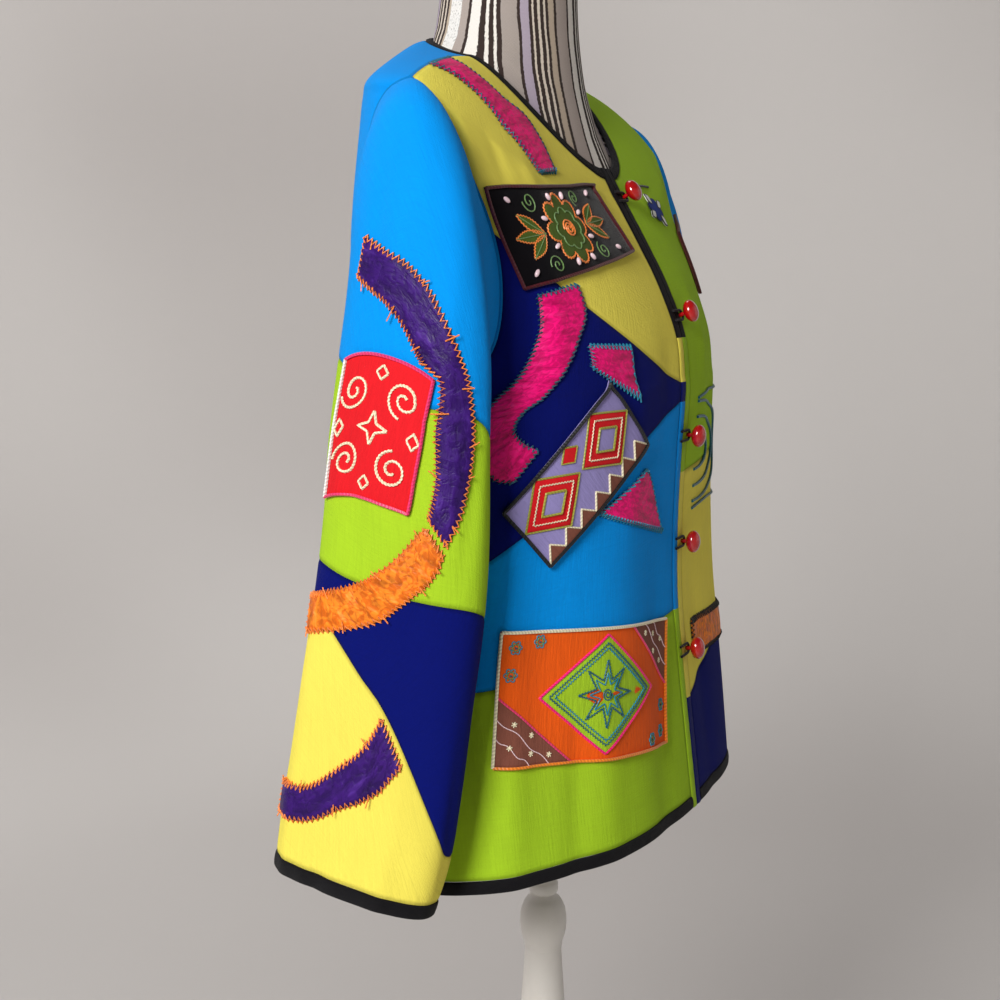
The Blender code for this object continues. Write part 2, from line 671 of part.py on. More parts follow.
# Patches and bands laid on the cloth. A patch is a rectangle, turned about its middle. Its middle is an
# angle and a height on the body, or on the sleeve. One that tapers is taller at its right end.
Patch = namedtuple("Patch", "name on angle height wide high turned taper finish")
PATCHES = [
    Patch("patch_chest", "body", -31.5, 1.131, 0.154, 0.066, 15, 0.15, "velvet"),
    Patch("patch_waist", "body", -39.8, 0.952, 0.127, 0.065, 42, 0.2, "lavender"),
    Patch("patch_hip", "body", -32.8, 0.786, 0.192, 0.0995, -7.5, 0.0, "orange"),
    Patch("patch_left_chest", "body", 43, 1.112, 0.046, 0.062, 12, 0.0, "brown"),
    Patch("patch_left_motif", "body", 17.5, 1.150, 0.036, 0.026, -20, 0.0, "navy"),
    Patch("patch_sleeve_right", "right sleeve", -9.4, 0.995, 0.077, 0.100, -9.2, 0.0, "red"),
    Patch("patch_sleeve_left", "left sleeve", -9.4, 0.995, 0.077, 0.100, -9.2, 0.0, "red"),
]
PATCH_STEP = 0.0125

# A band lies between two edges. Each rail crosses it, from an angle and a height on one edge to those on
# the other.
Rail = namedtuple("Rail", "angle height far_angle far_height")
Band = namedtuple("Band", "name finish rails")
SLEEVE_BANDS = [
    Band("sash", "purple", [
        Rail(-32.5, 1.125, -37, 1.097), Rail(-14, 1.117, -22, 1.089), Rail(3, 1.108, -7, 1.0805),
        Rail(19, 1.0925, 4, 1.066), Rail(32, 1.072, 13, 1.0495), Rail(44.5, 1.048, 19.5, 1.0395),
        Rail(54, 1.031, 31.5, 1.0285), Rail(59, 1.0155, 32.5, 1.012), Rail(63.5, 0.994, 30.5, 0.994),
        Rail(63.5, 0.974, 31, 0.976), Rail(59, 0.955, 31, 0.958), Rail(52, 0.935, 28.5, 0.944),
        Rail(41.5, 0.9155, 26.5, 0.934),
    ]),
    Band("cross_band", "orange", [
        Rail(25, 0.928, 40, 0.9085), Rail(19.5, 0.9225, 36, 0.899), Rail(12, 0.9125, 30, 0.8895),
        Rail(2.5, 0.9, 20, 0.8805), Rail(-8, 0.89, 10, 0.871), Rail(-20, 0.884, -0.5, 0.8605),
        Rail(-35, 0.879, -18, 0.8535), Rail(-52, 0.875, -42, 0.849), Rail(-65, 0.873, -57, 0.8465),
        Rail(-78, 0.872, -71, 0.845),
    ]),
    Band("low_band", "purple", [
        Rail(-73.5, 0.736, -73.5, 0.712), Rail(-62, 0.736, -60, 0.7115), Rail(-40, 0.7365, -36, 0.712),
        Rail(-28, 0.7405, -21.5, 0.7165), Rail(-18, 0.749, -10.5, 0.7235),
        Rail(-10, 0.757, -1.5, 0.729), Rail(-2.5, 0.765, 6, 0.735), Rail(2, 0.7745, 14, 0.742),
        Rail(5.5, 0.784, 20.5, 0.752), Rail(8.5, 0.7935, 26.5, 0.76),
    ]),
]
BODY_BANDS = [
    Band("shoulder_band", "magenta", [
        Rail(-88.5, 1.256, -89, 1.248), Rail(-82.5, 1.2505, -81.5, 1.242),
        Rail(-73, 1.239, -71.5, 1.23), Rail(-64, 1.227, -61.5, 1.2155),
        Rail(-56, 1.2175, -54.5, 1.204), Rail(-48, 1.206, -47, 1.1935), Rail(-38, 1.1905, -39, 1.18),
        Rail(-28.5, 1.1735, -36, 1.171),
    ]),
    Band("side_band", "magenta", [
        Rail(-36.5, 1.0905, -51, 1.083), Rail(-36, 1.08, -51.5, 1.073), Rail(-37, 1.067, -52.5, 1.06),
        Rail(-40.5, 1.0535, -55, 1.0475), Rail(-44, 1.0385, -58, 1.0345), Rail(-48, 1.024, -62, 1.022),
        Rail(-53.5, 1.0105, -68, 1.009), Rail(-59.5, 1.0005, -73, 0.993),
        Rail(-62, 0.9885, -73.5, 0.97), Rail(-59.5, 0.979, -68, 0.953),
        Rail(-54.5, 0.973, -62, 0.9505),
    ]),
    Band("waist_tab", "magenta", [
        Rail(-38, 1.047, -23, 1.044), Rail(-37.5, 1.036, -22.5, 1.024),
        Rail(-37.5, 1.0305, -21, 1.0045),
    ]),
    Band("waist_wedge", "magenta", [
        Rail(-34.5, 0.922, -7.5, 0.8955), Rail(-31, 0.9265, -10, 0.91), Rail(-27.5, 0.932, -12, 0.925),
        Rail(-22.5, 0.94, -14, 0.938), Rail(-18, 0.9485, -16, 0.948),
    ]),
    Band("left_front_band", "orange", [
        Rail(5.5, 0.808, 5.5, 0.778), Rail(17, 0.808, 17, 0.778), Rail(34, 0.805, 34, 0.775),
        Rail(52, 0.801, 52, 0.771), Rail(73, 0.797, 73, 0.767),
    ]),
]
BAND_STEP = 0.0135


def skin_of(on):
    """The skin, the turn of its outward vectors, and whether its rows rise, for a place's name."""
    if on == "body":
        return body_skin, 1, 1
    if on == "right sleeve":
        return right_sleeve, -1, -1
    return left_sleeve, 1, -1


def row_on(on, angle, height):
    if on == "body":
        return row_at_height(body_skin, angle, height, 0, len(BODY) - 1)
    return sleeve_row(angle, height)


def build_patches():
    for patch in PATCHES:
        skin, turn, rises = skin_of(patch.on)
        middle = float(row_on(patch.on, np.array(patch.angle), np.array(patch.height)))
        columns = max(2, int(round(patch.wide / PATCH_STEP)))
        rows = max(2, int(round(patch.high / PATCH_STEP)))
        p, q = np.meshgrid(
            np.linspace(-patch.wide / 2, patch.wide / 2, columns + 1),
            np.linspace(-patch.high / 2, patch.high / 2, rows + 1),
        )
        q = q * (1 + patch.taper * p / patch.wide)
        tilt = math.radians(patch.turned)
        across = p * math.cos(tilt) - q * math.sin(tilt)
        up = p * math.sin(tilt) + q * math.cos(tilt)
        angles, rows_at = walk(skin, patch.angle, middle, across, up, rises)
        above = LAID_ON_GAP + PATCH_THICK
        cloth(patch.name, skin, angles, rows_at, patch.finish, turn, above, PATCH_THICK)


def laid_band(name, on, finish, rails):
    """A band of satin between its two edges, in even steps along its middle."""
    skin, turn, _ = skin_of(on)
    near, far = (np.array([rail[first:first + 2] for rail in rails], float) for first in (0, 2))
    at = np.linspace(0, len(rails) - 1, 4 * len(rails))
    angle, height = (smooth_read(near, at) + smooth_read(far, at)).T / 2
    run = np.concatenate([[0], np.cumsum(length(np.diff(skin(angle, row_on(on, angle, height)), axis=0)))])
    count = max(3, int(round(run[-1] / BAND_STEP)))
    at = np.interp(np.linspace(0, run[-1], count + 1), run, at)
    near, far = smooth_read(near, at), smooth_read(far, at)
    edges = [skin(edge[:, 0], row_on(on, *edge.T)) for edge in (near, far)]
    columns = max(2, int(round(length(edges[1] - edges[0]).max() / BAND_STEP)))
    share = np.linspace(0, 1, columns + 1)[:, None, None]
    angles, heights = np.moveaxis(near + (far - near) * share, -1, 0)
    rows = row_on(on, angles, heights)
    above = LAID_ON_GAP + PATCH_THICK
    cloth(name, skin, angles, rows, finish, turn, above, PATCH_THICK)


def build_bands():
    for side in ("right", "left"):
        for band in SLEEVE_BANDS:
            laid_band(f"{band.name}_sleeve_{side}", f"{side} sleeve", band.finish, band.rails)
    for band in BODY_BANDS:
        laid_band(band.name, "body", band.finish, band.rails)


def lofted(name, rings, finish):
    """A closed solid through rings of points, with a flat face over its first and its last ring."""
    bm = bmesh.new()
    made = [[bm.verts.new(point) for point in ring] for ring in rings]
    for upper, lower in zip(made, made[1:]):
        for i in range(len(upper)):
            j = (i + 1) % len(upper)
            bm.faces.new((upper[i], upper[j], lower[j], lower[i]))
    bm.faces.new(made[0])
    bm.faces.new(made[-1])
    bmesh.ops.recalc_face_normals(bm, faces=bm.faces)
    mesh = bpy.data.meshes.new(name)
    bm.to_mesh(mesh)
    bm.free()
    return new_object(name, mesh, finish)


def circle(sides):
    turns = np.linspace(0, 2 * math.pi, sides, endpoint=False)
    return np.cos(turns), np.sin(turns)


def turned_piece(name, profile, sides, finish):
    """A solid of revolution about the pole's axis, from a profile of radius and height."""
    x, y = circle(sides)
    rings = [np.stack([wide * x, wide * y, np.full(sides, height)], axis=-1) for wide, height in profile]
    return lofted(name, rings, finish)


def build_stand():
    turned_piece("stand_pole", POLE_PROFILE, POLE_SIDES, "white_paint")
    turned_piece("stand_base", BASE_PROFILE, BASE_SIDES, "white_paint")


def build_dress_form():
    """The form's neck, its shoulders just under the jacket, and its torso down to a flat foot."""
    angles = np.linspace(0, 360, FORM_COLUMNS, endpoint=False)
    neck_skin = section_skin(FORM_NECK, FORM_SQUARENESS)
    torso_skin = section_skin(FORM_TORSO, FORM_SQUARENESS)
    rings = [neck_skin(angles, row) for row in range(len(FORM_NECK))]
    for under in FORM_UNDER:
        inwards = CLOTH + BINDING_EXTRA + under.ease
        out = outward(body_skin, angles, ROW[under.row], 1)
        rings.append(body_skin(angles, ROW[under.row]) - out * inwards)
    rings += [torso_skin(angles, row) for row in range(len(FORM_TORSO))]
    return lofted("dress_form", rings, "ticking")


def front_frame(height, x):
    """A point of the left front at a height and a distance from the middle, and the way out of it."""
    row = row_at_height(body_skin, 0.0, np.array(height), 0, len(BODY) - 1)
    angle = edge_angle(row, x)
    return body_skin(angle, row), outward(body_skin, angle, row, 1)


def upright(out):
    """The ways across and up a face that looks out."""
    up = np.array([0.0, 0.0, 1.0])
    up = up - out * up.dot(out)
    up /= np.linalg.norm(up)
    return np.cross(up, out), up


def shaped_button(name, point, out):
    """A red oval bead on a short shank, from its foot on the binding outwards."""
    across, up = upright(out)
    x, y = circle(BUTTON_SIDES)
    foot = point + out * (BINDING_EXTRA + SEAM_GAP)
    rings = []
    for wide, high, depth in BUTTON_PROFILE:
        rings.append(foot + across * (x * wide)[:, None] + up * (y * high)[:, None] + out * depth)
    return lofted(name, rings, "button_red")


def cord_loop(name, point, out, start_x):
    """A button loop: a black cord from the right front's edge round the shank and back."""
    across, up = upright(out)
    lift = BINDING_EXTRA + SEAM_GAP + LOOP_CORD / 2
    legs = start_x - BUTTON_X
    path = [(legs, LOOP_REACH)]
    for step in range(LOOP_STEPS + 1):
        turn = math.pi / 2 - math.pi * step / LOOP_STEPS
        path.append((LOOP_REACH * math.cos(turn), LOOP_REACH * math.sin(turn)))
    path.append((legs, -LOOP_REACH))
    curve = bpy.data.curves.new(name, "CURVE")
    curve.dimensions = "3D"
    curve.bevel_depth = LOOP_CORD / 2
    curve.bevel_resolution = 1
    curve.use_fill_caps = True
    spline = curve.splines.new("POLY")
    spline.points.add(len(path) - 1)
    for slot, (x, y) in zip(spline.points, path):
        slot.co = (*(point + across * x + up * y + out * lift), 1)
    obj = bpy.data.objects.new(name, curve)
    bpy.context.collection.objects.link(obj)
    curve.materials.append(material("black"))
    return obj


def build_closure():
    for number, height in enumerate(BUTTON_HEIGHTS, 1):
        point, out = front_frame(height, BUTTON_X)
        shaped_button(f"button_{number}", point, out)
        cord_loop(f"loop_{number}", point, out, LOOP_START_X)


def clear_scene():
    for obj in list(bpy.data.objects):
        bpy.data.objects.remove(obj)


def main():
    clear_scene()
    build_dress_form()
    build_stand()
    build_fronts()
    build_back()
    build_sleeves()
    build_bindings()
    build_patches()
    build_bands()
    build_closure()


main()
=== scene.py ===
import math
from collections import namedtuple

import bpy
import numpy as np
from mathutils import Matrix, Vector


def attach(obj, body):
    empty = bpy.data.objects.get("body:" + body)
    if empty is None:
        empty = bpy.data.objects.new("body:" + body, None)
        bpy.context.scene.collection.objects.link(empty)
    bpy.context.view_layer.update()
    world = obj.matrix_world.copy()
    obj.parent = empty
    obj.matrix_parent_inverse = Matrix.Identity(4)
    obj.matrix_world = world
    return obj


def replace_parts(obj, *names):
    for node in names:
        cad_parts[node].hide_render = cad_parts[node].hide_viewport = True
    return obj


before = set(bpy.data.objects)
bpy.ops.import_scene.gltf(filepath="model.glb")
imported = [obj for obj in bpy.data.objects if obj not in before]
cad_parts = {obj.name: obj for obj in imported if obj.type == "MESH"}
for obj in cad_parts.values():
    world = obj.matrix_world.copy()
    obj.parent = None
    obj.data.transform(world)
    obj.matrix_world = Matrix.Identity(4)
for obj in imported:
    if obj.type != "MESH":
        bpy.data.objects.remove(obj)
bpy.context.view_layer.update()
bpy.ops.object.select_all(action="DESELECT")
scene = bpy.context.scene
scene.view_settings.view_transform = "Standard"
print("frame loaded:", len(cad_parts), "solids")

# camera: the angle from the jacket's front, its distance from the pole, and where the pole and the horizon
# fall in the photo, whose middle is at pixel 500
cameraFacts = {"azimuth": -66.5, "fromPole": 1.34, "height": 1.11, "lens": 57.6, "poleColumn": 545.5,
               "horizonRow": 258.0, "middlePixel": 500, "pixelsPerSlope": 1600.0, "sensor": 36,
               "clip": (0.02, 60)}


def addObject(name, data):
    made = bpy.data.objects.new(name, data)
    scene.collection.objects.link(made)
    return made


def makeCamera():
    facts = cameraFacts
    turn = math.radians(facts["azimuth"])
    back = Vector((math.sin(turn), -math.cos(turn), 0))
    right = Vector((math.cos(turn), math.sin(turn), 0))
    yaw = math.atan((facts["poleColumn"] - facts["middlePixel"]) / facts["pixelsPerSlope"])
    pitch = math.atan((facts["middlePixel"] - facts["horizonRow"]) / facts["pixelsPerSlope"])
    level = -back * math.cos(yaw) - right * math.sin(yaw)
    ahead = level * math.cos(pitch) - Vector((0, 0, 1)) * math.sin(pitch)
    camera = addObject("camera", bpy.data.cameras.new("camera"))
    camera.location = back * facts["fromPole"] + Vector((0, 0, facts["height"]))
    camera.rotation_mode = "QUATERNION"
    camera.rotation_quaternion = ahead.to_track_quat("-Z", "Y")
    camera.data.sensor_width = facts["sensor"]
    camera.data.lens = facts["lens"]
    camera.data.dof.use_dof = False
    camera.data.clip_start, camera.data.clip_end = facts["clip"]
    scene.camera = camera


makeCamera()
print("camera placed")

# the jacket's surface, the same sections as its solids, in metres
clothFacts = {"thick": 0.0016, "seamGap": 0.0003, "bindingWide": 0.0095, "bindingGap": 0.0005,
              "bindingProud": 0.0005, "frontOpening": 0.0008, "laidOnGap": 0.0009, "patchThick": 0.0012,
              "gridStep": 0.005, "seamDitch": 0.00055, "ditchReach": 0.0014, "ditchShare": 0.4,
              "edgeSteps": (0.0, 0.0009, 0.0026)}
bindingReach = clothFacts["bindingWide"] + clothFacts["bindingGap"]

Section = namedtuple("Section", "name sideZ frontZ backZ halfWidth frontY backY centreY")
bodySections = [
    Section("hem", 0.648, 0.66, 0.654, 0.24, -0.139, 0.13, 0.0),
    Section("low hip", 0.706, 0.718, 0.712, 0.235, -0.132, 0.127, 0.0),
    Section("hip", 0.766, 0.777, 0.771, 0.23, -0.125, 0.124, 0.0),
    Section("low waist", 0.826, 0.836, 0.83, 0.225, -0.119, 0.121, 0.001),
    Section("waist", 0.886, 0.894, 0.889, 0.221, -0.118, 0.12, 0.003),
    Section("rib", 0.944, 0.95, 0.947, 0.218, -0.12, 0.121, 0.006),
    Section("underarm", 1.0, 1.003, 1.004, 0.216, -0.123, 0.123, 0.009),
    Section("armhole foot", 1.016, 1.019, 1.021, 0.215, -0.122, 0.124, 0.01),
    Section("bust", 1.05, 1.05, 1.058, 0.213, -0.118, 0.125, 0.011),
    Section("high bust", 1.1, 1.09, 1.112, 0.211, -0.102, 0.124, 0.012),
    Section("chest", 1.15, 1.12, 1.16, 0.21, -0.086, 0.119, 0.012),
    Section("high chest", 1.198, 1.141, 1.205, 0.211, -0.074, 0.11, 0.012),
    Section("shoulder end", 1.224, 1.153, 1.23, 0.21, -0.067, 0.105, 0.013),
    Section("shoulder tip", 1.236, 1.161, 1.244, 0.205, -0.062, 0.101, 0.015),
    Section("shoulder", 1.251, 1.169, 1.264, 0.165, -0.058, 0.0965, 0.02),
    Section("shoulder root", 1.261, 1.176, 1.282, 0.118, -0.054, 0.093, 0.026),
    Section("neckline", 1.266, 1.181, 1.289, 0.075, -0.051, 0.09, 0.031),
]
rowOf = {section.name: number for number, section in enumerate(bodySections)}
lastRow = len(bodySections) - 1.0
bodySquareness, slopePower = 2.35, 1.15

ArmholeRow = namedtuple("ArmholeRow", "section front back")
armholeRows = [
    ArmholeRow("underarm", 90.0, 90.0), ArmholeRow("armhole foot", 77.5, 102.0),
    ArmholeRow("bust", 67.0, 111.0), ArmholeRow("high bust", 62.0, 116.0),
    ArmholeRow("chest", 63.0, 116.0), ArmholeRow("high chest", 70.0, 110.0),
    ArmholeRow("shoulder end", 79.5, 101.0), ArmholeRow("shoulder tip", 90.0, 90.0),
]

# angle, lean in degrees a row, spread, depth outwards, and the rows between which it fades
Crease = namedtuple("Crease", "angle lean spread depth lowRow highRow")


def creasesOf(*rows):
    return [Crease(*row) for row in rows]


bodyFolds = creasesOf(
    (-24, 0, 11, 0.005, -2.0, 7.0), (-52, 0, 12, -0.0055, -2.5, 6.0), (28, 0, 12, 0.005, -2.0, 6.5),
    (58, 0, 13, -0.005, -2.5, 6.0), (124, 0, 12, 0.006, -2.5, 6.0), (155, 0, 12, -0.005, -2.0, 7.5),
    (-150, 0, 13, -0.0055, -2.0, 7.0), (-120, 0, 11, 0.0055, -2.5, 6.0), (180, 0, 10, 0.004, -2.0, 5.0),
)
bodyCreases = creasesOf(
    # right front
    (-11, 0.5, 4.0, -0.002, -1.5, 4.4), (-33, -0.5, 4.5, 0.0018, -1.2, 3.6),
    (-43, 0.7, 3.5, -0.0016, -1.5, 3.0), (-62, 0.2, 4.5, 0.002, -1.5, 4.6),
    (-76, -0.4, 4.0, -0.0018, -1.0, 5.2), (-20, 1.4, 4.0, 0.0014, 3.6, 7.6),
    (-7, 0.6, 3.0, -0.0014, 4.4, 8.8), (-56, 3.0, 4.0, -0.0016, 6.0, 9.8),
    (-47, 2.4, 4.0, 0.0013, 6.5, 10.6), (-66, -1.2, 3.6, 0.0017, 9.2, 13.9),
    (-55, -1.6, 3.4, -0.0015, 9.6, 13.9), (-41, -0.8, 3.4, 0.0012, 9.8, 13.6),
    (-24, 0.8, 3.2, -0.0012, 8.6, 12.6),
    # left front
    (9, -0.4, 3.6, -0.0018, -1.5, 4.8), (36, 0.6, 4.5, -0.0018, -1.0, 3.4),
    (48, -0.6, 4.0, 0.0018, -1.5, 4.4), (72, 0.3, 4.2, 0.0019, -1.2, 4.0),
    (19, -1.6, 4.0, -0.0014, 3.8, 7.8), (58, -3.0, 4.0, -0.0015, 6.0, 9.6),
    (12, 0.6, 3.0, 0.0013, 6.0, 9.8), (64, 1.4, 3.6, 0.0016, 9.2, 13.9), (46, 1.2, 3.6, -0.0014, 9.4, 13.8),
    # back
    (102, 0.6, 4.2, -0.0018, -1.5, 4.6), (138, -0.5, 4.5, 0.0018, -1.0, 5.0),
    (168, 0.5, 4.0, -0.0016, -1.5, 3.2), (-168, -0.6, 4.2, 0.0018, -1.2, 4.2),
    (-137, 0.7, 4.0, -0.0018, -1.5, 3.8), (-104, -0.5, 4.0, 0.0017, -1.0, 5.0),
    (130, 2.6, 4.4, -0.0016, 6.2, 10.2), (-128, -2.8, 4.4, -0.0017, 6.0, 10.0),
    (147, 1.4, 4.0, 0.0014, 8.0, 12.8), (-150, -1.2, 4.2, 0.0015, 8.4, 13.2),
    (173, 0.4, 4.0, -0.0013, 5.2, 10.4),
)
creaseScale = 1.5
sleeveFolds = creasesOf(
    (42, 0, 30, 0.003, 0.8, 7.5), (-35, 0, 30, -0.003, 0.8, 6.5), (-75, 0, 32, 0.003, 4.5, 13.5),
    (15, 0, 32, -0.003, 6.5, 13.5),
)
sleeveCreases = creasesOf(
    (-24, 7.0, 9, -0.0016, 5.2, 9.0), (4, 6.0, 8, 0.0013, 5.6, 9.6), (66, -8.0, 9, -0.0015, 4.8, 8.2),
    (36, -5.0, 8, 0.0012, 3.4, 7.0), (-48, 2.0, 8, 0.0014, 8.8, 13.4), (-14, -2.0, 7, -0.0013, 9.2, 13.6),
    (26, 1.0, 8, 0.0013, 9.0, 13.2), (84, 3.0, 10, -0.0014, 8.4, 12.6), (108, -4.0, 12, -0.0016, 2.2, 6.4),
    (-92, 5.0, 11, -0.0015, 2.0, 6.0), (-126, -4.0, 11, -0.0015, 7.0, 11.6),
    (150, 3.0, 12, -0.0014, 6.4, 11.0), (12, 1.0, 9, 0.0012, 1.4, 4.6), (-20, -2.0, 8, -0.001, 2.6, 5.4),
)

Ring = namedtuple("Ring", "name outerX outerZ innerX innerZ middleY halfWidth")
sleeveRings = [
    Ring("armhole", 0.211, 1.236, 0.2166, 1.001, 0.015, 0.052),
    Ring("head", 0.23, 1.231, 0.22, 0.99, 0.002, 0.051),
    Ring("head turn", 0.248, 1.214, 0.2215, 0.979, -0.004, 0.052),
    Ring("high arm", 0.261, 1.179, 0.222, 0.966, -0.009, 0.0535),
    Ring("upper arm", 0.268, 1.131, 0.2225, 0.95, -0.01, 0.056),
    Ring("mid arm", 0.272, 1.073, 0.2235, 0.932, -0.0075, 0.059),
    Ring("above elbow", 0.2755, 1.007, 0.2245, 0.909, -0.0045, 0.0615),
    Ring("elbow", 0.279, 0.943, 0.227, 0.879, -0.0035, 0.0625),
    Ring("below elbow", 0.2835, 0.882, 0.231, 0.84, 0.0, 0.0635),
    Ring("forearm", 0.289, 0.82, 0.236, 0.792, 0.0065, 0.0643),
    Ring("low forearm", 0.2945, 0.76, 0.241, 0.742, 0.013, 0.0655),
    Ring("above cuff", 0.3005, 0.704, 0.2455, 0.695, 0.0205, 0.066),
    Ring("cuff", 0.305, 0.663, 0.248, 0.657, 0.029, 0.0625),
]
cuffRow = len(sleeveRings) - 1.0
sleeveFacts = {"squareness": 2.25, "cuffTilt": 0.011, "leftBack": 0.024, "armholeClear": 0.0018,
               "headRows": 2.4}

# the step of a slope in rows, its turn in degrees, the steps of a walk, and the halvings of a search
slopeStep, slopeTurn, walkSteps, halvings, tiny = 1e-3, 1e-2, 14, 34, 1e-9


def column(rows, name):
    return np.array([getattr(row, name) for row in rows], float)


def smoothRead(values, at):
    # a table between its rows, on smooth curves through them
    values = np.asarray(values, float)
    at = np.clip(np.asarray(at, float), 0, len(values) - 1)
    before = np.minimum(at.astype(int), len(values) - 2)
    share = (at - before).reshape(at.shape + (1,) * (values.ndim - 1))
    padded = np.concatenate([2 * values[:1] - values[1:2], values, 2 * values[-1:] - values[-2:-1]])
    p0, p1, p2, p3 = (padded[before + step] for step in range(4))
    slope1, slope2 = (p2 - p0) / 2, (p3 - p1) / 2
    rise = p2 - p1
    bend = 3 * rise - 2 * slope1 - slope2
    return p1 + share * (slope1 + share * (bend + share * (slope1 + slope2 - 2 * rise)))


def columnsOf(rows, at):
    read = smoothRead([row[1:] for row in rows], at)
    return type(rows[0])(None, *np.moveaxis(read, -1, 0))


def deeper(creases):
    return [crease._replace(depth=crease.depth * creaseScale) for crease in creases]


def foldDepth(folds, angle, row):
    depth = np.zeros(np.broadcast(angle, row).shape)
    for fold in folds:
        middle = fold.angle + fold.lean * (row - (fold.lowRow + fold.highRow) / 2)
        apart = (angle - middle + 180) % 360 - 180
        along = np.clip((row - fold.lowRow) / (fold.highRow - fold.lowRow), 0, 1)
        depth = depth + fold.depth * np.exp(-((apart / fold.spread) ** 2)) * np.sin(math.pi * along) ** 2
    return depth


def sectionSkin(sections, squareness, folds=()):
    # a surface round the figure, from the angle off the middle of the front and the row
    def skin(angle, row):
        angle, row = np.broadcast_arrays(np.asarray(angle, float), np.asarray(row, float))
        read = columnsOf(sections, row)
        turn = np.radians(angle)
        sine, cosine = np.sin(turn), np.cos(turn)
        power = 2 / squareness
        across = np.sign(sine) * np.abs(sine) ** power
        forward = np.abs(cosine) ** power
        inFront = cosine > 0
        endY = np.where(inFront, read.frontY, read.backY)
        endZ = np.where(inFront, read.frontZ, read.backZ)
        x = read.halfWidth * across
        y = read.centreY + (endY - read.centreY) * forward
        z = read.sideZ + (endZ - read.sideZ) * np.abs(cosine) ** slopePower
        if folds:
            out = foldDepth(folds, angle, row)
            x, y = x + out * sine, y - out * cosine
        return np.stack([x, y, z], axis=-1)

    return skin


bodySkin = sectionSkin(bodySections, bodySquareness, bodyFolds + deeper(bodyCreases))
plainBody = sectionSkin(bodySections, bodySquareness, bodyFolds)


def armholeAngle(row, edge):
    first = rowOf[armholeRows[0].section]
    inside = (row > first) & (row < first + len(armholeRows) - 1)
    return np.where(inside, smoothRead(column(armholeRows, edge), row - first), 90.0)


def armholeLine(edge):
    rows = np.linspace(rowOf["underarm"], rowOf["shoulder tip"], 400)
    return bodySkin(-armholeAngle(rows, edge), rows)


armholeLines = {edge: armholeLine(edge) for edge in ("front", "back")}


def armholePoint(height, edge):
    line = armholeLines[edge]
    return np.stack([np.interp(height, line[:, 2], line[:, axis]) for axis in range(3)], axis=-1)


def plainSleeve(angle, row):
    read = columnsOf(sleeveRings, row)
    turn = np.radians(angle)
    power = 2 / (2 + (sleeveFacts["squareness"] - 2) * np.clip(row / 4, 0, 1))
    outward = np.sign(np.cos(turn)) * np.abs(np.cos(turn)) ** power
    forward = np.sign(np.sin(turn)) * np.abs(np.sin(turn)) ** power
    share = (1 + outward) / 2
    x = -(read.innerX + (read.outerX - read.innerX) * share)
    y = read.middleY - read.halfWidth * forward
    z = read.innerZ + (read.outerZ - read.innerZ) * share
    z = z - sleeveFacts["cuffTilt"] * forward * np.clip(row / cuffRow, 0, 1)
    out = foldDepth(sleeveFolds + deeper(sleeveCreases), angle, row)
    return np.stack([x - out * np.cos(turn), y - out * np.sin(turn), z], axis=-1)


def rightSleeve(angle, row):
    # the tube, with its first row drawn onto the armhole
    angle, row = np.broadcast_arrays(np.asarray(angle, float), np.asarray(row, float))
    top = plainSleeve(angle, np.zeros(angle.shape))
    low, high = bodySections[rowOf["underarm"]].sideZ, bodySections[rowOf["shoulder tip"]].sideZ
    height = np.clip(top[..., 2], low + 1e-4, high - 1e-4)
    inFront = np.sin(np.radians(angle)) > 0
    edge = np.where(inFront[..., None], armholePoint(height, "front"), armholePoint(height, "back"))
    edge = edge - np.array([sleeveFacts["armholeClear"], 0, 0])
    share = np.clip(1 - row / sleeveFacts["headRows"], 0, 1) ** 2
    return plainSleeve(angle, row) + (edge - top) * share[..., None]


def leftSleeve(angle, row):
    back = sleeveFacts["leftBack"] * np.clip(np.asarray(row, float) / 2, 0, 1)
    shift = np.multiply.outer(back, np.array([0.0, 1.0, 0.0]))
    return rightSleeve(angle, row) * np.array([-1.0, 1.0, 1.0]) + shift


# where a piece is laid: its surface, the turn of its outward side, whether its rows rise, and its last row
Place = namedtuple("Place", "skin turn rises last")
places = {
    "body": Place(bodySkin, 1, 1, lastRow),
    "right sleeve": Place(rightSleeve, -1, -1, cuffRow),
    "left sleeve": Place(leftSleeve, 1, -1, cuffRow),
}


def length(vectors):
    return np.linalg.norm(vectors, axis=-1)


def lengthsAlong(line):
    # how far along a line each of its points lies
    return np.concatenate([[0], np.cumsum(length(np.diff(line, axis=0)))])


def readAlong(line, run, at):
    # a flat line's points at these lengths
    return np.stack([np.interp(at, run, line[:, axis]) for axis in (0, 1)], -1)


def headings(line):
    ahead = np.gradient(line, axis=0)
    return ahead / np.maximum(length(ahead), tiny)[:, None]


def slopes(skin, angle, row):
    roundIt = (skin(angle + slopeTurn, row) - skin(angle - slopeTurn, row)) / (2 * slopeTurn)
    along = (skin(angle, row + slopeStep) - skin(angle, row - slopeStep)) / (slopeStep * 2)
    return roundIt, along


def outwardOf(place, angle, row):
    angle, row = np.broadcast_arrays(np.asarray(angle, float), np.asarray(row, float))
    roundIt, along = slopes(place.skin, angle, np.clip(row, 2 * slopeStep, place.last - 2 * slopeStep))
    normal = np.cross(roundIt, along) * place.turn
    return normal / length(normal)[..., None]


def walk(place, angle, row, across, up):
    # up (or down) over the surface by a length, then across, in metres
    angle, row, across, up = (np.array(v, float) for v in np.broadcast_arrays(angle, row, across, up))
    for _ in range(walkSteps):
        row += place.rises * up / walkSteps / length(slopes(place.skin, angle, row)[1])
    for _ in range(walkSteps):
        angle += across / walkSteps / length(slopes(place.skin, angle, row)[0])
    return angle, row


